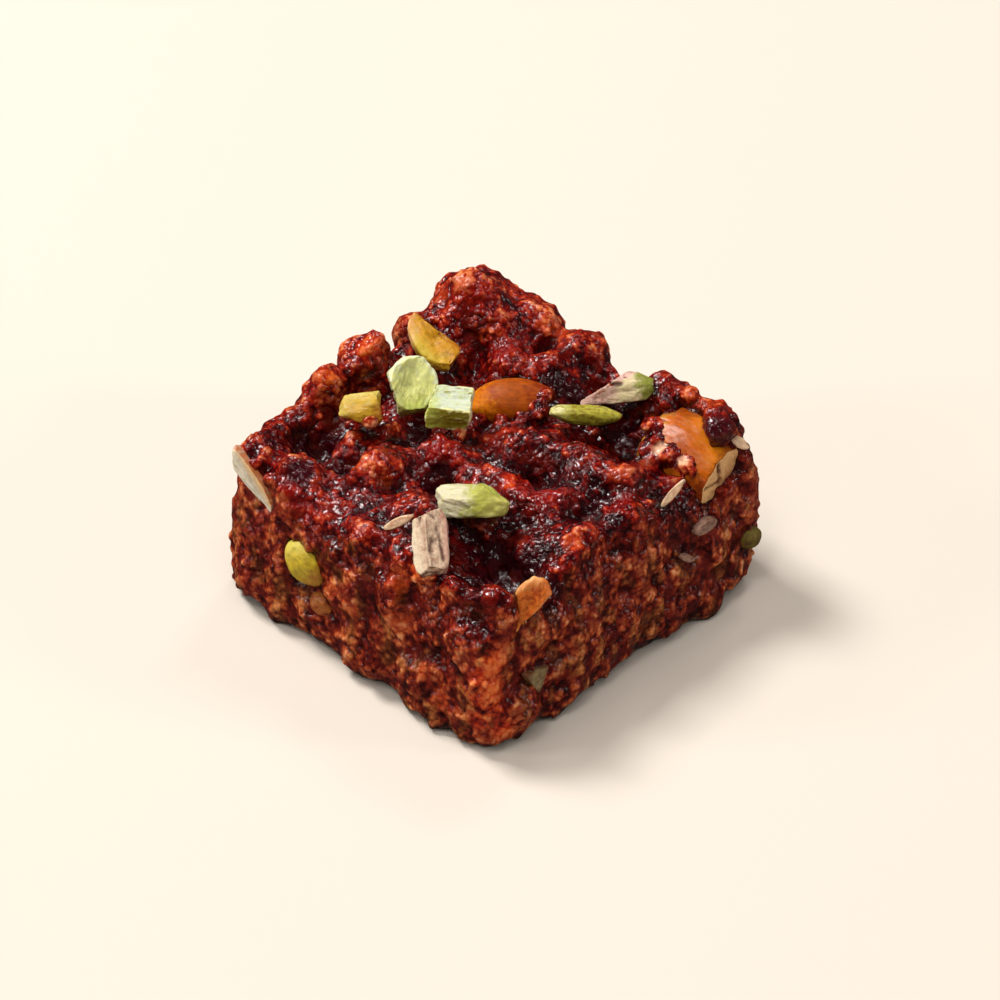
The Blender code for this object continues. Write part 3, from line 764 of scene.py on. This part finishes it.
def make_grain(index):
    """One lumpy grain, a little longer than wide and flatter than round."""
    bpy.ops.object.select_all(action="DESELECT")
    bpy.ops.mesh.primitive_ico_sphere_add(subdivisions=2, radius=GRAIN_RADIUS)
    grain = bpy.context.object
    grain.name = f"grain_{index}"
    length = GRAIN_LENGTH + LENGTH_STEP * index
    thickness = GRAIN_THICKNESS + THICKNESS_STEP * index
    edit_all(grain)
    bpy.ops.transform.resize(value=(length, GRAIN_WIDTH, thickness))
    bpy.ops.object.mode_set(mode="OBJECT")
    texture = cloud_texture(f"grain_lumps_{index}", (GRAIN_LUMP_MM + LUMP_STEP_MM * index) * MM)
    apply_modifier(grain, "DISPLACE", texture=texture, strength=GRAIN_RADIUS, mid_level=0.5)
    return grain


grains = bpy.data.collections.new("grains")
bpy.context.scene.collection.children.link(grains)
for index in range(GRAIN_KINDS):
    grain = make_grain(index)
    bpy.context.scene.collection.objects.unlink(grain)
    grains.objects.link(grain)


# %% [markdown]
# The strewing group picks points that keep a distance from each other, keeps those on the top or on the
# sides, in patches, and sets a grain on each. The grain lies flat on the surface with a little tilt and a
# random spin. The foot is kept free of grains, because the fudge set flat in its tray.

# %% The strewing group
TOP_HEIGHT = (15 * MM, 18 * MM)
TOP_FACING = (-0.1, 0.3)
ABOVE_FOOT = (0.7 * MM, 1.2 * MM)
PATCH_EDGE = (0.36, 0.58)
CROWDING = 2.0
GRAIN_TILT = 0.6
FULL_TURN = 6.28


def strewing_group(name, on_top, spacing_mm, low_scale, high_scale, patch_mm, seed):
    """A geometry group that makes grains strewn over the top or over the sides of a block."""
    spacing = spacing_mm * MM
    group = bpy.data.node_groups.new(name, "GeometryNodeTree")
    group.interface.new_socket("Geometry", in_out="INPUT", socket_type="NodeSocketGeometry")
    group.interface.new_socket("Geometry", in_out="OUTPUT", socket_type="NodeSocketGeometry")
    tree = Tree(group)
    surface = tree.node("NodeGroupInput")
    place = tree.node("GeometryNodeInputPosition")
    height = tree.upward(place)
    facing_up = tree.upward(tree.node("GeometryNodeInputNormal"))
    top_share = tree.between(height, *TOP_HEIGHT) * tree.between(facing_up, *TOP_FACING)
    share = top_share if on_top else 1 - top_share
    above_foot = tree.between(height, *ABOVE_FOOT)
    patches = tree.between(tree.noise(place, patch_mm, 1.0), *PATCH_EDGE)
    spots = tree.node(
        "GeometryNodeDistributePointsOnFaces",
        {"distribute_method": "POISSON"},
        {"Mesh": surface, "Distance Min": spacing, "Density Max": CROWDING / spacing ** 2,
         "Density Factor": share * above_foot * patches, "Seed": seed},
        output="Points",
    )
    kinds = tree.node(
        "GeometryNodeCollectionInfo", {"transform_space": "RELATIVE"},
        {"Collection": grains, "Separate Children": True, "Reset Children": True},
    )
    spin = tree.node(
        "FunctionNodeRandomValue",
        {"data_type": "FLOAT_VECTOR"},
        {0: (-GRAIN_TILT, -GRAIN_TILT, 0), 1: (GRAIN_TILT, GRAIN_TILT, FULL_TURN), "Seed": seed + 1},
    )
    turn = tree.node(
        "FunctionNodeRotateRotation", {"rotation_space": "LOCAL"}, {0: spots.also("Rotation"), 1: spin}
    )
    size = tree.node(
        "FunctionNodeRandomValue",
        {"data_type": "FLOAT"},
        {2: low_scale, 3: high_scale, "Seed": seed + 2},
        output=1,
    )
    strewn = tree.node(
        "GeometryNodeInstanceOnPoints",
        None,
        {"Points": spots, "Instance": kinds, "Pick Instance": True, "Rotation": turn, "Scale": size},
    )
    tree.node("NodeGroupOutput", None, {0: tree.node("GeometryNodeRealizeInstances", None, {0: strewn})})
    return group


# %% [markdown]
# Larger grains and smaller crumbs are strewn over the top and over the sides. Each strewing has the distance
# between its grains in millimetres, their smallest and largest scale, the size of its patches and its seed.

# %% Four strewings
STREWINGS = [
    strewing_group("top_grains", True, 1.3, 0.35, 0.85, 3.5, 3),
    strewing_group("top_crumbs", True, 0.85, 0.28, 0.5, 2.2, 23),
    strewing_group("side_grains", False, 1.2, 0.35, 0.7, 3.0, 5),
    strewing_group("side_crumbs", False, 0.8, 0.25, 0.45, 2.0, 11),
]
print("strewings:", [group.name for group in STREWINGS])

# %% [markdown]
# Where a nut lies, the fudge must touch it all round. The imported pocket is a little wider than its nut, so
# fillings, which are smoothed copies of the nuts, a little swollen and sunk, are fused in. Then every point
# of the fudge that lies close to a nut is tucked under the nut's skin, which leaves a snug edge and hides the
# filling. Swell and sink together stay below the reach of the tucking, or the filling would show as specks.

# %% Distance to the nuts
TOUCHING = 0.02 * MM
TUCK_REACH = 0.45 * MM
TUCK_DEPTH = 0.36 * MM

corner_lists = [points_of(piece.data) for piece in nut_pieces]
face_lists = []
first = 0
for piece, corners in zip(nut_pieces, corner_lists):
    face_lists += [[first + corner for corner in face.vertices] for face in piece.data.polygons]
    first += len(corners)
nut_skins = BVHTree.FromPolygons(np.concatenate(corner_lists).tolist(), face_lists)
print("faces of nut skins:", len(face_lists))


def tuck_under_nuts(piece, spared):
    """Moves each point of the piece near a nut's skin to a depth below it, but spares the beads of fudge.

    At a sharp edge the way in is the way from the point to the edge, which leads between both faces.
    """
    tucked = 0
    for vertex in piece.data.vertices:
        near, lean, _, away = nut_skins.find_nearest(vertex.co, TUCK_REACH)
        if near and not any((vertex.co - middle).length < radius for middle, radius in spared):
            if away > TOUCHING:
                outwards = (vertex.co - near).normalized()
                lean = outwards if outwards.dot(lean) > 0 else -outwards
            vertex.co = near - lean * TUCK_DEPTH
            tucked += 1
    return tucked


def weigh_by_nuts(piece, name, near, far):
    """A vertex group that is 0 near the nuts and 1 from far on."""
    group = piece.vertex_groups.new(name=name)
    for vertex in piece.data.vertices:
        found = nut_skins.find_nearest(vertex.co, far)
        share = 1.0 if found[0] is None else min(max((found[3] - near) / (far - near), 0.0), 1.0)
        group.add([vertex.index], share, "REPLACE")


# %% [markdown]
# The strewn block is fused at just under a third of a millimetre, which leaves about two pixels of the photo
# for each face. Two displacements then roughen it: one at the size of a grain and one at that of a crystal.

# %% The block of fudge
ROUND_VOXEL = 0.55 * MM
FUSE_VOXEL = 0.30 * MM
SINK = 0.12 * MM
OPEN_FUDGE = (0.5 * MM, 1.2 * MM)
ROUGHENINGS = (("lumps", 1.5, 0.6), ("crystals", 0.6, 0.2))

block = copy_node("halwa_block", "halwa")
apply_modifier(block, "REMESH", mode="VOXEL", voxel_size=ROUND_VOXEL)
apply_modifier(block, "SMOOTH", factor=0.5, iterations=3)
weigh_by_nuts(block, "open", *OPEN_FUDGE)
apply_modifier(block, "DISPLACE", strength=-SINK, mid_level=0.0, vertex_group="open")
layers = []
for group in STREWINGS:
    layer = copy_piece(block, group.name)
    apply_modifier(layer, "NODES", node_group=group)
    layers.append(layer)
    print(group.name, "faces:", len(layer.data.polygons))
join(block, *layers)
apply_modifier(block, "REMESH", mode="VOXEL", voxel_size=FUSE_VOXEL)
apply_modifier(block, "SMOOTH", factor=0.5, iterations=2)
for name, size, depth in ROUGHENINGS:
    texture = cloud_texture(name, size * MM)
    apply_modifier(block, "DISPLACE", texture=texture, strength=depth * MM, mid_level=0.5)

# %% [markdown]
# A filling on the top sinks straight down, and one in a side sinks towards the middle of the square, so that
# none of them leaves a ledge round its nut.

# %% Fillings under the nuts
RIM_HEIGHT = 18.5 * MM
FILLING_SWELL = 0.20 * MM
FILLING_SINK = 0.22 * MM

fillings = []
for piece in nut_pieces:
    filling = copy_piece(piece, "filling")
    apply_modifier(filling, "SMOOTH", factor=0.5, iterations=6)
    apply_modifier(filling, "DECIMATE", ratio=0.3)
    apply_modifier(filling, "DISPLACE", strength=FILLING_SWELL, mid_level=0.0)
    middle = Vector(points_of(filling.data).mean(0).tolist())
    inwards = Vector((0, 0, -1)) if middle.z > RIM_HEIGHT else Vector((-middle.x, -middle.y, 0))
    edit_all(filling)
    bpy.ops.transform.translate(value=inwards.normalized() * FILLING_SINK)
    bpy.ops.object.mode_set(mode="OBJECT")
    fillings.append(filling)
join(block, *fillings)
print("fillings:", len(fillings))

# %% [markdown]
# The fudge was still soft when the nuts went in, so here and there it creeps over a nut's edge. Lumpy beads
# of fudge are set on these edges. Each is given by its place and its radius in millimetres.

# %% Fudge that creeps over the nuts
BEADS = [
    (13.0, 16.0, 23.1, 1.3), (14.8, 13.7, 21.7, 1.3), (14.8, 14.6, 22.5, 1.0), (17.7, 14.0, 22.0, 1.2),
    (20.3, 14.3, 21.6, 1.0), (12.6, 19.5, 24.7, 1.2), (14.3, 21.7, 25.7, 1.1),
    (-0.5, 10.4, 23.9, 1.0), (0.3, 8.6, 22.6, 1.2), (-2.3, 3.9, 21.8, 0.9), (0.0, 5.7, 22.4, 1.0),
    (-5.3, 3.7, 21.0, 0.8), (-22.1, -21.7, 21.9, 0.9), (-19.5, -22.1, 21.3, 1.0), (-16.9, -22.7, 20.2, 0.9),
    (-17.8, -7.4, 19.8, 0.9), (-12.5, -9.3, 23.7, 0.8), (-5.4, -3.8, 22.8, 0.8), (-3.5, -2.2, 22.8, 0.8),
    (9.9, -23.2, 19.6, 0.9), (11.4, -22.4, 19.5, 1.0), (12.3, -20.8, 19.7, 0.9), (7.9, -12.0, 21.2, 0.9),
]
BEAD_SHAPE = (1.0, 1.25, 0.8)
BEAD_LUMP = 0.8 * MM

beads = []
for x, y, z, radius in BEADS:
    bpy.ops.object.select_all(action="DESELECT")
    bpy.ops.mesh.primitive_ico_sphere_add(subdivisions=3, radius=radius * MM)
    bead = bpy.context.object
    edit_all(bead)
    bpy.ops.transform.resize(value=BEAD_SHAPE)
    bpy.ops.transform.translate(value=(x * MM, y * MM, z * MM))
    bpy.ops.object.mode_set(mode="OBJECT")
    texture = cloud_texture("bead_lumps", BEAD_LUMP)
    apply_modifier(
        bead, "DISPLACE", texture=texture, texture_coords="GLOBAL", strength=radius * MM, mid_level=0.55
    )
    beads.append(bead)
join(block, *beads)
print("beads:", len(beads))

# %% [markdown]
# Block, fillings and beads are fused once more, and the fudge is tucked under the nuts. The tucking spares the
# beads, so they stay on top. If the mesh has more than 196,000 triangles, it is thinned to about that many. A
# piece may have 200,000 triangles, so the mesh is thinned to fewer. Its lowest points are set to one level, a
# hundredth of a millimetre above the floor, as the square's flat foot.

# %% One skin, tucked, thinned and set flat
SPARE = 1.5
MOST_TRIANGLES = 196000
FOOT_HEIGHT = 0.22 * MM
FOOT_LEVEL = 0.01 * MM

apply_modifier(block, "REMESH", mode="VOXEL", voxel_size=FUSE_VOXEL)
spared = [(Vector((x, y, z)) * MM, SPARE * radius * MM) for x, y, z, radius in BEADS]
print("tucked points:", tuck_under_nuts(block, spared))
triangles = 2 * len(block.data.polygons)
if triangles > MOST_TRIANGLES:
    apply_modifier(block, "DECIMATE", ratio=MOST_TRIANGLES / triangles)
points = points_of(block.data)
points[points[:, 2] < FOOT_HEIGHT, 2] = FOOT_LEVEL
block.data.vertices.foreach_set("co", points.ravel())
block.data.update()
select_only(block)
bpy.ops.object.shade_smooth()
block.data.materials.clear()
print("block triangles before and after:", triangles, len(block.data.polygons))
for grain in list(grains.objects):
    bpy.data.objects.remove(grain)
bpy.data.collections.remove(grains)

# %% [markdown]
# The fudge carries marks: caramelised, red and purple places left by the cook's pan, painted glints, a painted
# glow where light comes through thin fudge, and painted shade in the hollows, where black syrup also pools.
# Each is a spot with its place and its reach in millimetres, and a point of the mesh keeps how near it lies to
# the nearest spot of each kind.

# %% Marks of the pan, painted glints, glow and hollow shade
MARKS = {
    "caramelised": [
        (-22.9, 14.1, 26.0, 1.8), (-20.5, 15.3, 29.0, 1.6), (-10.3, 21.3, 24.2, 1.7),
        (-8.7, 22.3, 22.9, 1.4), (-7.8, -15.2, 23.2, 1.7), (-5.2, -13.9, 21.2, 1.3),
        (20.8, -6.8, 21.7, 1.7), (16.3, 11.1, 21.7, 1.4), (16.8, 5.9, 23.6, 1.8), (17.1, 22.4, 25.5, 2.2),
        (14.4, 21.6, 25.6, 1.6), (24.0, -23.9, 14.1, 2.2), (24.3, -24.5, 10.6, 2.2),
        (23.8, -22.2, 15.7, 1.5), (7.6, -24.1, 18.3, 1.8), (8.6, -25.3, 13.1, 2.4),
        (10.2, -23.2, 20.9, 1.6), (16.3, -26.1, 5.1, 1.7), (13.9, -26.5, 8.5, 1.3), (0.5, -26.1, 10.5, 1.8),
        (24.9, -23.4, 2.9, 1.5), (-3.7, -25.4, 10.9, 1.5),
    ],
    "red": [
        (-10.8, -23.5, 18.8, 2.2), (-12.7, -23.4, 21.0, 1.8), (-3.2, -6.1, 23.0, 2.6),
        (-0.4, -6.0, 23.0, 2.0), (7.9, -3.9, 22.5, 3.2), (12.4, -2.6, 22.4, 2.6), (-21.6, -1.0, 27.0, 2.8),
        (-22.0, -8.0, 25.6, 2.4), (-18.3, 14.9, 28.6, 3.4), (19.4, 3.0, 22.4, 2.4), (-11.2, 13.0, 24.4, 3.0),
    ],
    "purple": [
        (22.0, 18.6, 25.6, 3.2), (-13.4, -20.9, 22.3, 2.4), (-2.3, -8.9, 18.4, 1.6),
        (-10.9, -2.8, 19.6, 1.6),
    ],
    # Painted highlight: two pale pink-white spots stand in for glints on the glaze by the almond.
    "frosted": [(16.4, 13.9, 22.1, 1.3), (20.0, 14.2, 21.9, 1.0)],
    # Painted light: an orange-red glow where light comes through thin fudge at the front edge and on a few
    # lumps.
    "ember": [
        (24.0, -23.9, 14.1, 2.1), (24.3, -24.5, 10.6, 2.4), (24.6, -24.4, 7.4, 2.2),
        (10.2, -23.2, 20.9, 1.6), (22.6, -25.4, 12.2, 1.8), (22.9, -25.6, 8.8, 2.0),
        (22.4, -25.6, 5.4, 1.8), (24.9, -23.8, 4.2, 1.8), (-21.6, -1.0, 27.0, 2.2),
        (-22.0, -8.0, 25.6, 1.8), (7.9, -3.9, 22.5, 2.0),
    ],
    # Painted shade: these hollows are painted near black, where dark syrup also lies.
    "pool": [
        (-21.5, -18.5, 21.4, 2.2), (-20.5, -14.2, 18.7, 3.0), (-18.3, -11.0, 17.7, 3.0),
        (-14.6, -13.7, 17.6, 2.2), (-10.9, -2.8, 19.6, 2.0), (-9.0, -1.7, 20.0, 2.0),
        (-2.2, -7.1, 20.6, 1.8), (-2.7, 14.6, 22.0, 2.2), (-0.5, 16.1, 20.7, 2.2), (9.2, 15.1, 20.0, 2.6),
        (13.9, 13.7, 20.6, 1.6), (17.0, 1.1, 20.1, 1.9), (21.4, 0.0, 21.6, 1.3), (12.9, -11.8, 17.2, 3.8),
        (17.7, -11.4, 18.1, 3.2), (22.0, -12.4, 18.3, 1.8), (10.6, -14.8, 19.4, 2.4),
        (15.2, -15.8, 17.0, 3.4),
    ],
}


def nearness(places, spots):
    """From 0, far, to 1, at the middle of the nearest spot."""
    near = np.zeros(len(places))
    for x, y, z, reach in spots:
        away = np.linalg.norm(places / MM - (x, y, z), axis=1) / reach
        near = np.maximum(near, np.exp(-away * away))
    return near


points = points_of(block.data)
for kind, spots in MARKS.items():
    store(block.data, kind, nearness(points, spots))
print("marks:", {kind: len(spots) for kind, spots in MARKS.items()})

# %% [markdown]
# The fudge's colour follows its relief. Syrup gathers in the hollows and thins out on the high grains. The
# colour paints the hollows nearly black, as painted shade, and the high grains orange-red, as painted light
# coming through them. So each point keeps how far it stands proud of a smoothed copy of the surface, once
# finely and once broadly. It also keeps how much it belongs to the top: the smoothed surface leans up there,
# and it lies above the knife-cut sides.

# %% Relief kept on the points
FINE_ROUNDS, FINE_REACH = 5, 0.30 * MM
BROAD_ROUNDS, BROAD_REACH = 60, 1.5 * MM
TOP_LEAN, TOP_LEAN_RISE = 0.2, 0.35
TOP_FROM_MM, TOP_RISE_MM = 14.5, 3.0

fine_height, _ = proud_of_smooth(block, FINE_ROUNDS, FINE_REACH)
broad_height, broad_lean = proud_of_smooth(block, BROAD_ROUNDS, BROAD_REACH)
leans_up = np.clip((broad_lean[:, 2] - TOP_LEAN) / TOP_LEAN_RISE, 0, 1)
lies_high = np.clip((points[:, 2] / MM - TOP_FROM_MM) / TOP_RISE_MM, 0, 1)
topness = leans_up * lies_high
store(block.data, "fine_height", fine_height)
store(block.data, "broad_height", broad_height)
store(block.data, "topness", topness)
print("share on top:", round(float(topness.mean()), 2))
print("fine height, low to high:", np.percentile(fine_height, (5, 25, 50, 75, 95)).round(2))
print("broad height, low to high:", np.percentile(broad_height, (5, 25, 50, 75, 95)).round(2))


# %% [markdown]
# ## The finish of the fudge
# One material covers the whole square. Noises make patches, lumps and grains. Their sum with the height picks
# a colour on a ramp from near black through maroon to orange-brown, one ramp for the top and one for the
# crumbly sides. Through this, the hollows get painted shade and the high grains painted light. The top is
# redder and wetter, and it is painted lighter along a slope per metre towards the side of the key lamp, as
# painted light. Its sparks come from small domes in the bump, which mirror the lamps, and hardly from a coat,
# because a coat greys the dark red with the pale room around it.

# %% The finish of the fudge
# Painted light: the top is painted lighter along this slope, towards the side of the key lamp.
TOP_LIGHT_SLOPE = (-5.5, 1.6, 0.0)
DOME_MM = 0.85
DOME_DEPTH_MM = 0.32
GRAIN_DEPTH_MM = 0.12
SWIRL_MM = 0.5
STREAK_SHAPE = (1, 1, 0.45)
# Painted shade: the fudge is darkened near the floor, fading out between these heights.
FOOT_SHADE = (0.3 * MM, 2.4 * MM)
FOOT_UNREST = 4 * MM


def fudge_finish():
    """The material of the whole square of fudge."""
    material, tree, shader = principled(
        "fudge", Subsurface_Weight=0.25, Subsurface_Scale=0.0010, Subsurface_Radius=(1.0, 0.2, 0.08),
        IOR=1.45, Specular_IOR_Level=0.5, Coat_Roughness=0.14,
    )
    # The patterns, from a single crystal to a patch, and the height that they make together. Its relief terms
    # paint shade in the hollows and light on the high grains and dome tops.
    place = tree.object_place()
    swirl = tree.noise(place, 0.9).also("Color")
    away = tree.cells(tree.vector("MULTIPLY_ADD", swirl, (SWIRL_MM * MM,) * 3, place), DOME_MM)
    domes = 1 - away * away
    chance = tree.node("ShaderNodeSeparateColor", None, {0: away.also("Color")})
    patches = tree.noise(place, 6.0, 2.0)
    lumps = tree.noise(place, 2.0, 2.0, 0.6)
    grain = tree.noise(place, 0.5, 2.0, 0.65)
    tall = tree.vector("MULTIPLY", place, STREAK_SHAPE)
    streaks = tree.noise(tall, 1.6, 2.0, 0.6)
    fine = tree.attribute("fine_height")
    broad = tree.attribute("broad_height")
    top = tree.attribute("topness")
    pool = tree.attribute("pool")
    rise = (
        0.48 + (fine - 0.5) * 0.6 + (broad - 0.5) * 0.8 + (lumps - 0.5) * 0.8 + (patches - 0.5) * 0.6
        + (grain - 0.5) * 0.5 + (domes - 0.8) * 0.35 + (chance - 0.5) * 0.2 - pool * 0.25
        + tree.attribute("caramelised") * 0.25 + tree.attribute("frosted") * 0.5
        + top * tree.dot(place, TOP_LIGHT_SLOPE)
    )
    # The colours of the top and of the sides by that height, with ruddy and earthy patches
    on_top = tree.ramp(rise, [
        (0.18, paint(32, 0, 2)), (0.38, paint(60, 0, 3)), (0.52, paint(96, 5, 4)),
        (0.66, paint(138, 22, 8)), (0.80, paint(174, 54, 20)), (0.95, paint(222, 126, 76)),
    ])
    crumbly = (streaks - 0.5) * 0.6 + (lumps - 0.5) * 0.35 - (grain - 0.5) * 0.2
    on_side = tree.ramp(rise + crumbly, [
        (0.16, paint(46, 0, 0)), (0.36, paint(84, 8, 2)), (0.50, paint(122, 29, 8)),
        (0.62, paint(154, 60, 21)), (0.76, paint(188, 92, 44)), (0.92, paint(222, 148, 98)),
    ])
    colour = tree.mix(top, on_side, on_top)
    ruddy = tree.noise(place, 2.6, 2.0)
    colour = tree.mix(tree.between(ruddy, 0.50, 0.62) * 0.5, colour, paint(104, 14, 6))
    ochre = tree.noise(tall, 2.2, 2.0)
    earthy = tree.ramp(rise, [
        (0.25, paint(74, 24, 4)), (0.50, paint(130, 70, 22)), (0.80, paint(192, 126, 64)),
    ])
    colour = tree.mix((1 - top) * tree.between(ochre, 0.52, 0.64) * 0.6, colour, earthy)
    # The marks, with their painted glints, glow and hollow shade, and painted shade at the foot
    glow_colours = tree.ramp(rise, [
        (0.30, paint(110, 8, 0)), (0.58, paint(190, 44, 3)), (0.90, paint(222, 104, 34)),
    ])
    for kind, tint, strength in (
        ("red", paint(136, 10, 5), 0.6),
        ("purple", paint(56, 4, 14), 0.95),
        ("caramelised", paint(190, 66, 16), 0.35),
        ("frosted", paint(240, 196, 160), 0.7),
        ("ember", glow_colours, 0.7),
        ("pool", paint(42, 0, 6), 0.7),
    ):
        mark = tree.attribute(kind) + (grain - 0.5) * 0.6 + (lumps - 0.5) * 0.5
        colour = tree.mix(tree.between(mark, 0.30, 0.85) * strength, colour, tint)
    foot_shade = 1 - tree.between(tree.upward(place) + (lumps - 0.5) * FOOT_UNREST, *FOOT_SHADE)
    colour = tree.mix(foot_shade * 0.9, colour, paint(22, 10, 3))
    tree.fill(shader["Base Color"], colour)
    # Gloss and relief: where syrup lies, the grains are half drowned and the surface is smoother
    syrupy = tree.between(tree.noise(place, 3.4, 1.0), 0.44, 0.62)
    tree.fill(shader["Roughness"], 0.32 - top * 0.14 + (grain - 0.5) * 0.2)
    tree.fill(shader["Coat Weight"], top * syrupy * 0.1)
    grainy = (1 - syrupy * 0.5) * (0.3 + tree.between(broad, 0.20, 0.50) * 0.7)
    relief = tree.bump(domes * grainy, DOME_DEPTH_MM)
    tree.fill(shader["Normal"], tree.bump(grain * grainy, GRAIN_DEPTH_MM, relief))
    return material


block.data.materials.append(fudge_finish())
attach(block, "root")
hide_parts("halwa_block")
print("nodes in the fudge's material:", len(block.data.materials[0].node_tree.nodes))

# %% [markdown]
# ## The floor
# A pale cream floor runs out past the view. It is kept out of reflections, so that the wet grains mirror the
# lamps alone.

# %% The floor
FLOOR_SIZE = 6.0
FLOOR_COLOUR = (0.69, 0.62, 0.54, 1.0)

bpy.ops.object.select_all(action="DESELECT")
bpy.ops.mesh.primitive_plane_add(size=FLOOR_SIZE, location=(0, 0, 0))
floor = bpy.context.object
floor.name = "floor"
floor_paper, _, floor_shader = principled("pale_floor", Roughness=0.9, Specular_IOR_Level=0.1)
floor_shader["Base Color"].default_value = FLOOR_COLOUR
floor.data.materials.append(floor_paper)
floor.visible_glossy = False

# %% [markdown]
# ## The light
# One broad lamp from above and behind the left gives the photo's bright top and darker front. Four small ones
# put sparks on the wet grains of the top and sides, and a very large one fills the shadows without a mirror
# image of its own. Each lamp has its azimuth and elevation in degrees, its distance and size in metres, its
# watts and its colour.

# %% The lights
LAMP_AIM = Vector((0, 0, 12)) * MM
LAMP_WHITE = (1.0, 0.98, 0.96)
LAMP_WARM = (1.0, 0.97, 0.93)
LAMPS = {
    "key": (-80, 56, 1.6, 0.46, 25.0, LAMP_WHITE),
    "spark_back": (200, 50, 1.6, 0.30, 3.6, LAMP_WHITE),
    "spark_front": (15, 66, 1.6, 0.24, 3.0, LAMP_WHITE),
    "spark_left": (-40, 24, 1.6, 0.26, 4.6, LAMP_WHITE),
    "spark_right": (125, 24, 1.6, 0.26, 4.2, LAMP_WHITE),
    "soft_fill": (40, 70, 1.8, 1.8, 16.0, LAMP_WARM),
}
SKY_COLOUR = (1.0, 0.95, 0.88, 1.0)
SKY_STRENGTH = 0.05


def area_light(name, azimuth, elevation, distance, size, watts, colour):
    """A square light that shines at the middle of the sweet from this direction."""
    around, up = math.radians(azimuth), math.radians(elevation)
    back = Vector((math.sin(around) * math.cos(up), -math.cos(around) * math.cos(up), math.sin(up)))
    bpy.ops.object.light_add(type="AREA", location=back * distance + LAMP_AIM)
    light = bpy.context.object
    light.name = name
    light.rotation_euler = back.to_track_quat("Z", "Y").to_euler()
    light.data.size = size
    light.data.energy = watts
    light.data.color = colour
    return light


lamps = {name: area_light(name, *settings) for name, settings in LAMPS.items()}
lamps["soft_fill"].visible_glossy = False

world = bpy.data.worlds.new("studio")
bpy.context.scene.world = world
world.use_nodes = True
world.node_tree.nodes["Background"].inputs["Color"].default_value = SKY_COLOUR
world.node_tree.nodes["Background"].inputs["Strength"].default_value = SKY_STRENGTH
bpy.context.scene.view_settings.view_transform = "Standard"
print("lamps:", len(lamps))
